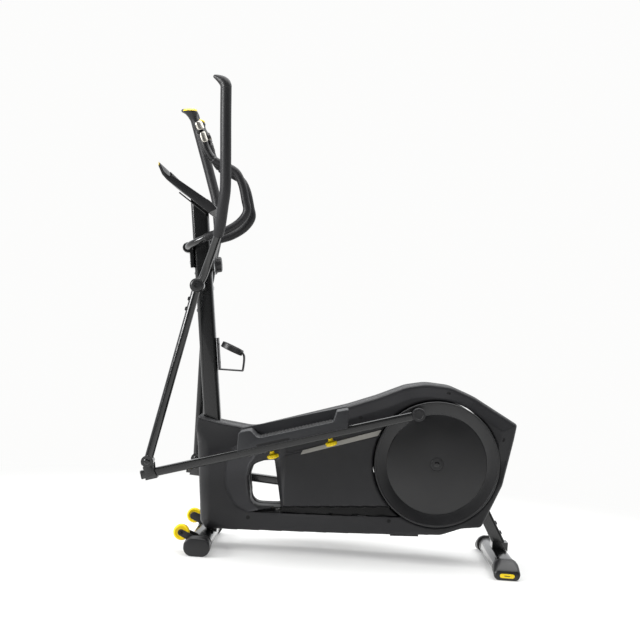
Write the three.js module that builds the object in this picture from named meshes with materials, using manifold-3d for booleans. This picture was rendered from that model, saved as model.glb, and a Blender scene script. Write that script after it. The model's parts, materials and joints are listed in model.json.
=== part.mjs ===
// Elliptical trainer with a rear crank drive, as an assembly of separate parts.
// Units are millimetres. +X runs to the rear of the machine, +Z is up, and the user's
// left side is -Y. The origin is on the floor under the middle of the machine.

import * as THREE from 'three';
import { mergeVertices } from 'three/addons/utils/BufferGeometryUtils.js';
import Module from 'manifold-3d';

const wasm = await Module();
wasm.setup();

// ---------------------------------------------------------------- driving dimensions

const GAP = 0.35;                       // clearance kept between touching solids
const ROUND = 16;                       // facets round a turned part
const DISC_ROUND = 32;                  // facets round the crank discs and their openings
const SMALL_ROUND = 8;                  // facets round a tube

// points in the middle plane are [X, Z]
const ARM_PIVOT = [-500.7, 921.3];
const CRANK_CENTRE = [375.8, 354.2];
const LEFT_PIN = [297, 526.6];          // where the left rod meets its crank
const LEFT_JOINT = [-629.5, 300.6];     // lower end of the left swing arm
const RIGHT_ARM_TURN = -12.4;           // degrees about the arm pivot, left to right arm
const RIGHT_HANDLE_TURN = -15.4;        // the right handle is clamped 3 degrees further forward

const ARM_Y = 165;                      // middle of the swing arms and rods, off the centre
const HANDLE_TOP_Y = 330;
const ARM_TUBE_R = 14;
const LINK_TUBE_R = 15;
const ARM_GRIP_R = 19;
const PIVOT_BOSS_R = 25;
const JOINT_BUSH_R = 21.5;
const AXLE_R = 10;

const ROD_HEIGHT = 30;
const ROD_WIDTH = 30;
const ROD_FRONT = [22, -40.5];          // a point of the rod tube, along and across the rod line
const ROD_LEAD = 53;                    // the tube starts this far in front of that point

const DISC_R = 220;
const DISC_FLAT_R = 174.5;
const DISC_BACK_Y = 98;
const DISC_FLAT_Y = 112;
const DISC_HUB_Y = 116;
const DISC_LIP_Y = 124;
const SHAFT_R = 12;

const CASING_Y = 104;                   // half width over the casing's flat sides
const CASING_WALL = 3.5;
const CROWN_STEPS = [[20, 0], [0, 16]]; // narrower by, set in by

const MAST_LEAN = 7.5;                  // degrees forward
const MAST_FOOT = [-388.8, 136];
const MAST_TOP_Z = 1235;
const MAST_DEPTH = 60;
const MAST_WIDTH = 50;

const BAR_R = 11.5;
const BAR_GRIP_R = 14.8;
const BAR_Y = 130;

const FLYWHEEL_CENTRE = [3, 296];
const FLYWHEEL_R = 128;
const BELT_Y = 47;
const BELT_WIDTH = 14;
const DRIVE_PULLEY_R = 129.5;
const SMALL_PULLEY_R = 18.5;
const BELT_THICK = 3;

const FRONT_FOOT_X = -431;
const FRONT_FOOT_HALF = 270;
const REAR_FOOT_X = 622;
const REAR_FOOT_HALF = 310;
const WHEEL_CENTRE = [-492, 70];
const WHEEL_Y = 200;
const WHEEL_R = 28;

const PEDAL_START_ALONG = 299;           // front of the pedal, along the rod tube
const PEDAL_INNER_Y = 148;
const PEDAL_OUTER_Y = 285;
const PEDAL_KNOBS_ALONG = [109, 316];

// ---------------------------------------------------------------- materials

const plastic = new THREE.MeshStandardMaterial({ color: 0x303032, roughness: 0.55, metalness: 0 });
const glossSteel = new THREE.MeshStandardMaterial({ color: 0x202225, roughness: 0.3, metalness: 0.3 });
const foam = new THREE.MeshStandardMaterial({ color: 0x3c3c40, roughness: 0.8, metalness: 0 });
const yellow = new THREE.MeshStandardMaterial({ color: 0xfade0f, roughness: 0.4, metalness: 0 });
const bareSteel = new THREE.MeshStandardMaterial({ color: 0xb0b2b5, roughness: 0.35, metalness: 1 });
const castIron = new THREE.MeshStandardMaterial({ color: 0x55565a, roughness: 0.6, metalness: 0.8 });
const rubber = new THREE.MeshStandardMaterial({ color: 0x1c1c1d, roughness: 0.85, metalness: 0 });
const pedalPlastic = new THREE.MeshStandardMaterial({ color: 0x38393c, roughness: 0.6, metalness: 0 });

// ---------------------------------------------------------------- small tools

const trainer = new THREE.Group();

function radians(degrees) {
  return degrees * Math.PI / 180;
}

// A closed geometry as a solid that can be joined and cut.
function solid(geometry) {
  const bare = geometry.index ? geometry.toNonIndexed() : geometry.clone();
  bare.deleteAttribute('normal');
  bare.deleteAttribute('uv');
  const merged = mergeVertices(bare, 1e-4);
  const vertProperties = new Float32Array(merged.attributes.position.array);
  const triVerts = new Uint32Array(merged.index.array);
  if (signedVolume(vertProperties, triVerts) < 0) triVerts.reverse();
  return new wasm.Manifold(new wasm.Mesh({ numProp: 3, vertProperties, triVerts }));
}

// Six times the volume inside a closed mesh, negative where its faces point inwards.
function signedVolume(places, corners) {
  let sum = 0;
  const at = (i) => new THREE.Vector3().fromArray(places, 3 * i);
  for (let i = 0; i < corners.length; i += 3) {
    sum += at(corners[i]).dot(at(corners[i + 1]).cross(at(corners[i + 2])));
  }
  return sum;
}

function geometryOf(body) {
  const mesh = body.getMesh();
  const geometry = new THREE.BufferGeometry();
  const places = new Float32Array(mesh.numVert * 3);
  for (let i = 0; i < mesh.numVert; i += 1) {
    for (let axis = 0; axis < 3; axis += 1) {
      places[3 * i + axis] = mesh.vertProperties[mesh.numProp * i + axis];
    }
  }
  geometry.setAttribute('position', new THREE.BufferAttribute(places, 3));
  geometry.setIndex(Array.from(mesh.triVerts));
  geometry.computeVertexNormals();
  return geometry;
}

function join(...bodies) {
  return bodies.reduce((sum, body) => sum.add(body));
}

function add(name, body, material) {
  const mesh = new THREE.Mesh(body.isBufferGeometry ? body : geometryOf(body), material);
  mesh.name = name;
  trainer.add(mesh);
  return mesh;
}

// The same solid on the other side of the middle plane.
function mirrored(body) {
  return body.mirror([0, 1, 0]);
}

// Names and places a part that both sides have.
function addPair(name, leftBody, material) {
  add(`${name}_left`, leftBody, material);
  add(`${name}_right`, mirrored(leftBody), material);
}

// Distance from start to end, and the angle of that line above +X.
function lineOf(start, end) {
  const dx = end[0] - start[0];
  const dz = end[1] - start[1];
  return { length: Math.hypot(dx, dz), angle: Math.atan2(dz, dx) };
}

function turned(point, centre, degrees) {
  const c = Math.cos(radians(degrees));
  const s = Math.sin(radians(degrees));
  const x = point[0] - centre[0];
  const z = point[1] - centre[1];
  return [centre[0] + x * c + z * s, centre[1] - x * s + z * c];
}

// Turns a solid about an axis along Y; positive carries the lower end forward.
function turnedBody(body, centre, degrees) {
  const moved = body.translate([-centre[0], 0, -centre[1]]);
  return moved.rotate([0, degrees, 0]).translate([centre[0], 0, centre[1]]);
}

// A closed outline whose corners are rounded by the third number of each point.
function roundedOutline(corners) {
  const shape = new THREE.Shape();
  corners.forEach(([x, z, radius = 0], i) => {
    const before = corners[(i + corners.length - 1) % corners.length];
    const after = corners[(i + 1) % corners.length];
    const toBefore = new THREE.Vector2(before[0] - x, before[1] - z);
    const toAfter = new THREE.Vector2(after[0] - x, after[1] - z);
    const half = Math.abs(toBefore.angleTo(toAfter)) / 2;
    const reach = radius / Math.tan(half);
    const start = toBefore.setLength(reach).add(new THREE.Vector2(x, z));
    const end = toAfter.setLength(reach).add(new THREE.Vector2(x, z));
    if (i === 0) shape.moveTo(start.x, start.y);
    else shape.lineTo(start.x, start.y);
    if (radius > 0) shape.quadraticCurveTo(x, z, end.x, end.y);
  });
  shape.closePath();
  return shape;
}

// The corners moved inwards by a distance; the outline runs counterclockwise.
function insetCorners(corners, distance) {
  return corners.map(([x, z, radius = 0], i) => {
    const before = corners[(i + corners.length - 1) % corners.length];
    const after = corners[(i + 1) % corners.length];
    const inward = (a, b) => new THREE.Vector2(a[1] - b[1], b[0] - a[0]).normalize();
    const first = inward(before, [x, z]);
    const second = inward([x, z], after);
    const share = distance / (1 + first.dot(second));
    const shrunk = Math.max(radius - distance, Math.min(radius, 1));
    return [x + (first.x + second.x) * share, z + (first.y + second.y) * share, shrunk];
  });
}

// A side-view outline given thickness from y0 to y1.
function plate(shape, y0, y1, curveSegments = 5) {
  const geometry = new THREE.ExtrudeGeometry(shape, { depth: y1 - y0, bevelEnabled: false, curveSegments });
  geometry.rotateX(Math.PI / 2);
  geometry.translate(0, y1, 0);
  return solid(geometry);
}

function roundedRectangle(width, height, radius) {
  const w = width / 2;
  const h = height / 2;
  return roundedOutline([[-w, -h, radius], [w, -h, radius], [w, h, radius], [-w, h, radius]]);
}

// A straight bar of a given section between two points of the middle plane.
function beam(start, end, height, width, radius = 4, middleY = 0) {
  const line = lineOf(start, end);
  const section = roundedRectangle(height, width, radius);
  const geometry = new THREE.ExtrudeGeometry(section, { depth: line.length, bevelEnabled: false, curveSegments: 3 });
  geometry.rotateY(Math.PI / 2 - line.angle);
  geometry.translate(start[0], middleY, start[1]);
  return solid(geometry);
}

function cylinderY(radius, y0, y1, centre, facets = ROUND) {
  const geometry = new THREE.CylinderGeometry(radius, radius, y1 - y0, facets);
  geometry.translate(centre[0], (y0 + y1) / 2, centre[1]);
  return solid(geometry);
}

// A turned part about an axis along Y: profile points are [radius, Y].
function turnedPart(profile, centre, facets = ROUND) {
  const points = profile.map(([r, y]) => new THREE.Vector2(r, y));
  const geometry = new THREE.LatheGeometry(points, facets);
  geometry.translate(centre[0], 0, centre[1]);
  return solid(geometry);
}

function ringY(inner, outer, y0, y1, centre, facets = ROUND) {
  return cylinderY(outer, y0, y1, centre, facets).subtract(cylinderY(inner, y0 - 1, y1 + 1, centre, facets));
}

function box(x0, x1, y0, y1, z0, z1) {
  const geometry = new THREE.BoxGeometry(x1 - x0, y1 - y0, z1 - z0);
  geometry.translate((x0 + x1) / 2, (y0 + y1) / 2, (z0 + z1) / 2);
  return solid(geometry);
}

// One stretch of a longer curve, by share of its length.
class Stretch extends THREE.Curve {
  constructor(whole, from, to) {
    super();
    this.whole = whole;
    this.from = from;
    this.to = to;
  }

  getPoint(t) {
    return this.whole.getPointAt(this.from + (this.to - this.from) * t);
  }
}

function tubeAlong(curve, radius, steps, sides = SMALL_ROUND) {
  const section = new THREE.Shape();
  for (let i = 0; i < sides; i += 1) {
    const angle = 2 * Math.PI * i / sides;
    if (i === 0) section.moveTo(radius, 0);
    else section.lineTo(radius * Math.cos(angle), radius * Math.sin(angle));
  }
  section.closePath();
  return solid(new THREE.ExtrudeGeometry(section, { steps, extrudePath: curve, bevelEnabled: false }));
}

function curveThrough(points) {
  return new THREE.CatmullRomCurve3(points.map(([x, y, z]) => new THREE.Vector3(x, y, z)), false, 'centripetal');
}

function mastX(z) {
  return MAST_FOOT[0] - (z - MAST_FOOT[1]) * Math.tan(radians(MAST_LEAN));
}

// A turned part about any axis: profile points are [radius, distance along the axis].
function turnedAlong(profile, origin, direction, facets = ROUND) {
  const points = profile.map(([r, y]) => new THREE.Vector2(r, y));
  const geometry = new THREE.LatheGeometry(points, facets);
  const axis = new THREE.Vector3(...direction).normalize();
  geometry.applyQuaternion(new THREE.Quaternion().setFromUnitVectors(new THREE.Vector3(0, 1, 0), axis));
  geometry.translate(...origin);
  return solid(geometry);
}

// ---------------------------------------------------------------- floor frame

const FOOT_TUBE = { depth: 80, height: 54, radius: 26 };
const FOOT_CAP = { depth: 90, height: 63, radius: 24 };

function footTube(x, half, grow = 0) {
  const shape = roundedRectangle(FOOT_TUBE.depth + 2 * grow, FOOT_TUBE.height + 2 * grow, FOOT_TUBE.radius + grow);
  return plate(shape, -half, half, 6).translate([x, 0, FOOT_CAP.height / 2 + 0.5]);
}

// A cup pushed over the left end of a foot tube.
function footCap(x, half, reach) {
  const shape = roundedRectangle(FOOT_CAP.depth, FOOT_CAP.height, FOOT_CAP.radius);
  const outer = plate(shape, -half, -half + reach, 6).translate([x, 0, FOOT_CAP.height / 2]);
  return outer.subtract(footTube(x, half - 6, GAP));
}

function makeFeet() {
  add('front_stabilizer', footTube(FRONT_FOOT_X, FRONT_FOOT_HALF - 7), glossSteel);
  addPair('front_end_cap', footCap(FRONT_FOOT_X, FRONT_FOOT_HALF, 60), plastic);
  add('rear_stabilizer', footTube(REAR_FOOT_X, REAR_FOOT_HALF - 7), glossSteel);
  addPair('rear_end_cap', footCap(REAR_FOOT_X, REAR_FOOT_HALF, 70), plastic);
}

const SPINE_FRONT = [-430, 108];
const SPINE_MIDDLE = [378, 128];
const SPINE_REAR = [560, 190];
const LEG_TOP = [553, 205];
const LEG_FOOT = [627, 76];
const SPINE_HEIGHT = 45;
const SPINE_WIDTH = 52;
const LEG_DEPTH = 42;
const FORK_Y = 60;
const FORK_THICK = 6;
const BEARING_R = 22;
const FLYWHEEL_AXLE_R = 6;

function legBeam(grow = 0) {
  return beam(LEG_TOP, LEG_FOOT, LEG_DEPTH + 2 * grow, SPINE_WIDTH + 2 * grow, 8);
}

function makeMainFrame() {
  const [flyX, flyZ] = FLYWHEEL_CENTRE;
  const forkPlate = box(flyX - 18, flyX + 18, -FORK_Y - FORK_THICK, -FORK_Y, 112, flyZ + 18);
  const gusset = box(-425, -352, -32, -MAST_WIDTH / 2 - GAP, 92, 225);
  const shell = cylinderY(BEARING_R + 7, -38, 38, CRANK_CENTRE);
  const body = join(
    beam(SPINE_FRONT, SPINE_MIDDLE, SPINE_HEIGHT, SPINE_WIDTH),
    beam([SPINE_MIDDLE[0] - 12, SPINE_MIDDLE[1]], SPINE_REAR, SPINE_HEIGHT, SPINE_WIDTH),
    beam([CRANK_CENTRE[0], SPINE_MIDDLE[1]], CRANK_CENTRE, 56, 40),
    legBeam(),
    shell,
    gusset,
    mirrored(gusset),
    forkPlate,
    mirrored(forkPlate),
    box(flyX - 18, flyX + 18, -FORK_Y - 1, FORK_Y + 1, 108, 138),
    box(-422, -386, -26, 26, 50, 100),
    box(600, 656, -32, 32, 46, 84),
  );
  const cuts = [
    footTube(FRONT_FOOT_X, FRONT_FOOT_HALF, GAP),
    footTube(REAR_FOOT_X, REAR_FOOT_HALF, GAP),
    cylinderY(BEARING_R + GAP, -60, 60, CRANK_CENTRE),
    cylinderY(FLYWHEEL_AXLE_R + GAP, -80, 80, FLYWHEEL_CENTRE),
  ];
  add('main_frame', cuts.reduce((sum, cut) => sum.subtract(cut), body), glossSteel);
  add('flywheel_axle', cylinderY(FLYWHEEL_AXLE_R, -72, 72, FLYWHEEL_CENTRE, SMALL_ROUND), bareSteel);
  const bearing = ringY(SHAFT_R + GAP, BEARING_R, -38, -24, CRANK_CENTRE);
  addPair('crank_bearing', bearing, bareSteel);
  makeMagnetBrake();
}

function makeMagnetBrake() {
  const shoe = new THREE.Shape();
  const from = radians(95);
  const to = radians(178);
  shoe.absarc(...FLYWHEEL_CENTRE, FLYWHEEL_R + 12, from, to, false);
  shoe.absarc(...FLYWHEEL_CENTRE, FLYWHEEL_R + 4, to, from, true);
  shoe.closePath();
  const arm = box(-137, -131, -16, 16, 139.5, 302);
  add('magnet_brake', join(plate(shoe, -16, 16, 8), arm), bareSteel);
}

function makeWheelBrackets() {
  const [x, z] = WHEEL_CENTRE;
  const arm = beam([FRONT_FOOT_X - 8, 52], WHEEL_CENTRE, 26, 7, 2, -WHEEL_Y + 17.5);
  const cheek = cylinderY(14, -WHEEL_Y + 14, -WHEEL_Y + 21, WHEEL_CENTRE, SMALL_ROUND);
  const pin = cylinderY(5, -WHEEL_Y - 13, -WHEEL_Y + 15, WHEEL_CENTRE, SMALL_ROUND);
  const bracket = join(arm, cheek, pin).subtract(footTube(FRONT_FOOT_X, FRONT_FOOT_HALF, GAP));
  addPair('wheel_bracket', bracket, plastic);
  const profile = [[5.4, -11], [17, -11], [WHEEL_R - 4, -10], [WHEEL_R, -6], [WHEEL_R, 6], [WHEEL_R - 4, 10],
    [17, 11], [5.4, 11], [5.4, -11]];
  addPair('transport_wheel', turnedPart(profile, [x, z]).translate([0, -WHEEL_Y, 0]), yellow);
}

// ---------------------------------------------------------------- casing

const CASING_CORNERS = [
  [-425, 62, 12], [225, 91, 60], [409, 101, 60], [483, 129, 30], [551, 138, 16], [575, 192, 20],
  [616, 291, 60], [646, 455, 20], [654, 510, 14], [494, 598.5, 120], [412, 629, 120], [324, 635, 160],
  [252.5, 620, 120], [151, 574.5, 120], [50, 536, 120], [-280, 438, 120], [-397, 452, 60], [-474, 469, 6],
  [-474, 414, 20], [-456, 272, 60], [-441, 88.5, 20],
];
const WINDOW_CORNERS = [[-272, 159, 42], [-161, 162, 4], [-177, 240, 20], [-195, 327, 4], [-240, 322, 20],
  [-284, 306, 30], [-295, 258, 30], [-285, 205, 30]];
const DISC_CLEARANCE = 3.5;

// The crown is rounded in steps: each layer is wider across the machine and set
// further in from the outline than the one before it.
function casingBlock(inset, halfWidth) {
  const layers = CROWN_STEPS.map(([narrower, set]) => {
    const shape = roundedOutline(insetCorners(CASING_CORNERS, inset + set));
    return plate(shape, -halfWidth + narrower, halfWidth - narrower, inset > 0 ? 1 : 2);
  });
  return join(...layers);
}

function windowTunnel(wall) {
  return plate(roundedOutline(insetCorners(WINDOW_CORNERS, -wall)), -CASING_Y - 5, CASING_Y + 5);
}

function mastBeam(grow = 0) {
  const foot = MAST_FOOT;
  return beam(foot, [mastX(MAST_TOP_Z), MAST_TOP_Z], MAST_DEPTH + 2 * grow, MAST_WIDTH + 2 * grow, 14);
}

function makeCasing() {
  const hollow = casingBlock(CASING_WALL, CASING_Y - CASING_WALL).subtract(windowTunnel(CASING_WALL));
  const cuts = [
    hollow,
    windowTunnel(0),
    cylinderY(DISC_R + DISC_CLEARANCE, -CASING_Y - 5, CASING_Y + 5, CRANK_CENTRE, DISC_ROUND),
    mastBeam(1.5),
    legBeam(1.5),
    box(-425, -383, -30, 30, 55, 70),
    box(-700, 700, -GAP / 2, GAP / 2, 0, 700),
  ];
  const shell = cuts.reduce((sum, cut) => sum.subtract(cut), casingBlock(0, CASING_Y));
  addPair('casing', shell.intersect(box(-700, 700, -200, 0, 0, 700)), plastic);
  add('belly_plate', beam([232, 87], [332, 91.8], 6, 120, 2), plastic);
}

// ---------------------------------------------------------------- crank and flywheel

function makeDrive() {
  const disc = turnedPart([
    [SHAFT_R + GAP, -DISC_BACK_Y], [DISC_R, -DISC_BACK_Y], [DISC_R, -DISC_LIP_Y], [DISC_R - 7, -DISC_LIP_Y],
    [DISC_FLAT_R, -DISC_FLAT_Y], [24, -DISC_FLAT_Y], [24, -DISC_HUB_Y], [SHAFT_R + GAP, -DISC_HUB_Y],
    [SHAFT_R + GAP, -DISC_BACK_Y],
  ], CRANK_CENTRE, DISC_ROUND);
  addPair('crank_disc', disc, plastic);
  add('crank_shaft', cylinderY(SHAFT_R, -DISC_HUB_Y + 1, DISC_HUB_Y - 1, CRANK_CENTRE), bareSteel);
  const pulleyY = BELT_Y;
  add('drive_pulley', turnedPart([
    [SHAFT_R + GAP, pulleyY - 7], [DRIVE_PULLEY_R, pulleyY - 7], [DRIVE_PULLEY_R, pulleyY + 7],
    [DRIVE_PULLEY_R - 10, pulleyY + 7], [DRIVE_PULLEY_R - 12, pulleyY], [34, pulleyY], [34, pulleyY + 9],
    [SHAFT_R + GAP, pulleyY + 9], [SHAFT_R + GAP, pulleyY - 7],
  ], CRANK_CENTRE, 24), plastic);
  add('flywheel', turnedPart([
    [FLYWHEEL_AXLE_R + GAP, -30], [16, -30], [16, -5], [100, -5], [100, -12], [FLYWHEEL_R, -12], [FLYWHEEL_R, 12],
    [100, 12], [100, 5], [SMALL_PULLEY_R, 5], [SMALL_PULLEY_R, BELT_Y + 8], [FLYWHEEL_AXLE_R + GAP, BELT_Y + 8],
    [FLYWHEEL_AXLE_R + GAP, -30],
  ], FLYWHEEL_CENTRE, ROUND), castIron);
  const width = BELT_WIDTH / 2 - 1;
  const belt = plate(beltOutline(1 + BELT_THICK), BELT_Y - width, BELT_Y + width, 9);
  add('drive_belt', belt.subtract(plate(beltOutline(1), BELT_Y - 20, BELT_Y + 20, 9)), rubber);
}

// The line of a flat belt round both pulleys, standing off them by a distance.
function beltOutline(off) {
  const big = DRIVE_PULLEY_R + off;
  const small = SMALL_PULLEY_R + off;
  const line = lineOf(FLYWHEEL_CENTRE, CRANK_CENTRE);
  const lift = Math.acos((small - big) / line.length);
  const shape = new THREE.Shape();
  shape.absarc(...CRANK_CENTRE, big, line.angle - lift, line.angle + lift, false);
  shape.absarc(...FLYWHEEL_CENTRE, small, line.angle + lift, line.angle - lift + 2 * Math.PI, false);
  shape.closePath();
  return shape;
}

// ---------------------------------------------------------------- mast, bars and console

const BAR_POINTS = [
  [-560, 0, 1057], [-557, 45, 1058.5], [-541, 92, 1066.5], [-508, 120, 1081], [-467, BAR_Y, 1101],
  [-418, BAR_Y, 1120], [-370.5, BAR_Y, 1155.5], [-350, BAR_Y, 1193], [-358, BAR_Y, 1232], [-375, BAR_Y, 1290],
  [-397, BAR_Y, 1326], [-435, BAR_Y, 1346], [-477, BAR_Y, 1364], [-506, BAR_Y, 1400], [-525, BAR_Y, 1449],
  [-540, BAR_Y, 1477],
];
const BAR_STEPS = 44;
const BAR_GRIP = [4, 17];              // first and last step of the left grip, from the left tip

// What the console's underside takes off the top of the mast.
const CONSOLE_SPACE_ENDS = [[-445, 1195.4], [-617.7, 1313.8]];
const CONSOLE_SPACE_DEPTH = 70;
const HEAD_START = [-537.5, 1473];
const HEAD_TOP = [-572, 1527];
const BUTTON_AXIS = [-0.07, -0.25, 0.9657];      // the left button looks outward
const CONSOLE_CORNERS = [[-480, 1177, 6], [-452.5, 1192, 6], [-469, 1211, 5], [-612, 1295.5, 8], [-631, 1297.5, 8],
  [-647, 1311, 12], [-660, 1334, 6], [-667, 1343, 2], [-667, 1328, 6], [-652, 1299, 12], [-634, 1281, 20],
  [-588, 1251, 30]];

function barCurve() {
  const right = BAR_POINTS;
  const left = right.slice(1).map(([x, y, z]) => [x, -y, z]).reverse();
  return curveThrough([...left, ...right]);
}

function sleeve(curve, from, to, steps, outerR, tubeR) {
  const stretch = new Stretch(curve, from / steps, to / steps);
  const inner = tubeR / Math.cos(Math.PI / SMALL_ROUND) + GAP;
  const reach = 1 / steps;
  const bore = new Stretch(curve, Math.max(from / steps - reach, 0), Math.min(to / steps + reach, 1));
  return tubeAlong(stretch, outerR, to - from).subtract(tubeAlong(bore, inner, to - from + 2));
}

function makeMast() {
  const consoleSpace = beam(...CONSOLE_SPACE_ENDS, CONSOLE_SPACE_DEPTH + 2 * GAP, 320);
  const cuts = [consoleSpace, consoleBracket(GAP), cylinderY(AXLE_R + GAP, -90, 90, ARM_PIVOT)];
  add('mast', cuts.reduce((sum, cut) => sum.subtract(cut), mastBeam()), glossSteel);
  const axle = join(
    cylinderY(AXLE_R, -ARM_Y - 10, ARM_Y + 10, ARM_PIVOT),
    cylinderY(16, -ARM_Y + 18, -MAST_WIDTH / 2 - GAP, ARM_PIVOT),
    cylinderY(16, MAST_WIDTH / 2 + GAP, ARM_Y - 18, ARM_PIVOT),
  );
  add('arm_axle', axle, glossSteel);
}

function makeHandlebar() {
  const curve = barCurve();
  add('fixed_handlebar', tubeAlong(curve, BAR_R, BAR_STEPS), glossSteel);
  const [from, to] = BAR_GRIP;
  const share = BAR_STEPS;
  addPair('handlebar_grip', sleeve(curve, from, to, share, BAR_GRIP_R, BAR_R), foam);
  const pad = sleeve(curve, 1, 4, share, BAR_R + 3.2, BAR_R);
  const rearHalf = box(-600, -480, -200, 0, 1380, 1500);
  addPair('pulse_sensor', pad.intersect(rearHalf), bareSteel);
  const clampStart = [mastX(992) - 37, 992];
  const clampEnd = [mastX(1082) - 37, 1082];
  const clamp = beam(clampStart, clampEnd, 13, 62, 3);
  add('handlebar_clamp', clamp.subtract(tubeAlong(curve, BAR_R + 0.6, BAR_STEPS)), glossSteel);
  makeHeads();
}

// A flared head: the hull of a collar on the tube and a disc under the button.
function makeHeads() {
  const up = new THREE.Vector3(HEAD_TOP[0] - HEAD_START[0], 0, HEAD_TOP[1] - HEAD_START[1]).toArray();
  const low = [HEAD_START[0], -BAR_Y, HEAD_START[1]];
  const top = [HEAD_TOP[0], -BAR_Y, HEAD_TOP[1]];
  const socket = tubeAlong(barCurve(), BAR_R / Math.cos(Math.PI / SMALL_ROUND) + GAP, BAR_STEPS);
  const bore = turnedAlong([[0, -10], [7, -10], [7, 5], [0, 5]], top, BUTTON_AXIS, SMALL_ROUND);
  const collar = turnedAlong([[0, 0], [16.5, 0], [16.5, 10], [0, 10]], low, up);
  const rim = turnedAlong([[0, -7], [26, -7], [26, 0], [0, 0]], top, BUTTON_AXIS);
  const head = wasm.Manifold.hull([collar, rim]);
  addPair('handlebar_head', head.subtract(socket).subtract(bore), plastic);
  const button = turnedAlong([[0, -8], [6, -8], [6, 2.5], [24.5, 2.5], [25.5, 4.5], [20, 8.5], [11, 10.5], [0, 11]],
    top, BUTTON_AXIS);
  addPair('thumb_button', button, yellow);
}

// A thin plate that lies along the underside of the console.
function consoleBracket(grow = 0) {
  return beam([-602.5, 1251], [-503, 1182.5], 5 + 2 * grow, 80 + 2 * grow, 1);
}

function makeConsole() {
  const body = plate(roundedOutline(CONSOLE_CORNERS), -150, 150);
  const screenPocket = beam([-604.5, 1291.6], [-479.3, 1217.6], 4, 210, 1);
  add('console', body.subtract(screenPocket), plastic);
  const screen = beam([-603.4, 1290.9], [-480.4, 1218.3], 3, 208, 1);
  add('console_screen', screen, glossSteel);
  add('console_bracket', consoleBracket(), glossSteel);
}

function makeResistanceKnob() {
  const rear = [Math.cos(radians(MAST_LEAN)), 0, Math.sin(radians(MAST_LEAN))];
  const z = 998;
  const face = [mastX(z) + (MAST_DEPTH / 2 + GAP) / Math.cos(radians(MAST_LEAN)), 0, z];
  add('knob_base', turnedAlong([[0, 0], [24, 0], [24, 6], [0, 6]], face, rear), plastic);
  const grip = [[0, 6.5], [33, 6.5], [35, 9], [35, 15], [29, 18], [27, 34], [24, 36], [0, 36]];
  add('resistance_knob', turnedAlong(grip, face, rear), plastic);
}

function makeBottleHolder() {
  const [low, high] = [628, 738];
  const backX = mastX((low + high) / 2) + MAST_DEPTH / 2 + 7;
  const back = beam([backX + 6, low], [backX - 6, high], 5, 58, 2);
  const sideView = roundedOutline([[backX - 8, high - 20, 2], [-338, high - 56, 8], [-331, high - 36, 6],
    [backX - 8, high, 2]]);
  const band = plate(sideView, -42, 42).subtract(
    cylinderAlongZ(37, low, high + 10, [(backX - 331) / 2 + 1, 0]),
  );
  const post = beam([-335, low + 4], [-334, high - 50], 7, 28, 2);
  const floor = box(backX + 4, -331, -30, 30, low, low + 5);
  add('bottle_holder', join(back, band, post, floor).subtract(mastBeam(GAP)), plastic);
}

function cylinderAlongZ(radius, z0, z1, [x, y]) {
  const geometry = new THREE.CylinderGeometry(radius, radius, z1 - z0, ROUND);
  geometry.rotateX(Math.PI / 2);
  geometry.translate(x, y, (z0 + z1) / 2);
  return solid(geometry);
}

// ---------------------------------------------------------------- swing arms

const HANDLE_POINTS = [
  [-500.7, -ARM_Y, 921.3], [-485.7, -170.8, 943.9], [-467.9, -186.4, 995.6], [-448.1, -223.2, 1050.5],
  [-427.0, -269.8, 1117.4], [-417.8, -298.9, 1193.2], [-413.2, -312.5, 1241.8], [-417.6, -324.2, 1341.5],
  [-426.1, -HANDLE_TOP_Y, 1474.7], [-433.0, -HANDLE_TOP_Y, 1575.8], [-442.5, -HANDLE_TOP_Y, 1592],
];
const TIP_START = [-443, -HANDLE_TOP_Y, 1594];
const TIP_DIRECTION = [-0.78, 0, 0.62];
const TIP_PROFILE = [[0, -8], [17.5, -8], [18.5, 0], [17, 14], [12.5, 30], [7, 42], [0, 46]];
const HANDLE_STEPS = 24;
const ARM_GRIP_START = 7;

function leftHandle() {
  const curve = curveThrough(HANDLE_POINTS);
  const tube = tubeAlong(new Stretch(curve, 0, 21 / HANDLE_STEPS), ARM_TUBE_R, 21);
  const bossSpace = cylinderY(PIVOT_BOSS_R + GAP, -ARM_Y - 40, -ARM_Y + 40, ARM_PIVOT);
  const bareTube = tube.subtract(bossSpace);
  const cover = join(
    tubeAlong(new Stretch(curve, ARM_GRIP_START / HANDLE_STEPS, 1), ARM_GRIP_R, HANDLE_STEPS - ARM_GRIP_START),
    turnedAlong(TIP_PROFILE, TIP_START, TIP_DIRECTION, SMALL_ROUND),
  );
  const inner = ARM_TUBE_R / Math.cos(Math.PI / SMALL_ROUND) + GAP;
  const bore = tubeAlong(new Stretch(curve, (ARM_GRIP_START - 1) / HANDLE_STEPS, 22 / HANDLE_STEPS), inner, 16);
  return { tube: bareTube, grip: cover.subtract(bore) };
}

function leftLink() {
  const start = new THREE.Vector3(ARM_PIVOT[0], -ARM_Y, ARM_PIVOT[1]);
  const end = new THREE.Vector3(LEFT_JOINT[0], -ARM_Y, LEFT_JOINT[1]);
  const body = join(
    tubeAlong(new THREE.LineCurve3(start, end), LINK_TUBE_R, 1),
    cylinderY(PIVOT_BOSS_R, -ARM_Y - 17, -ARM_Y + 17, ARM_PIVOT),
    cylinderY(JOINT_BUSH_R, -ARM_Y - 17, -ARM_Y + 17, LEFT_JOINT),
  );
  return body
    .subtract(cylinderY(AXLE_R + GAP, -ARM_Y - 11, -ARM_Y + 30, ARM_PIVOT))
    .subtract(cylinderY(AXLE_R + GAP, -ARM_Y - 30, -ARM_Y + 30, LEFT_JOINT));
}

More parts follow.
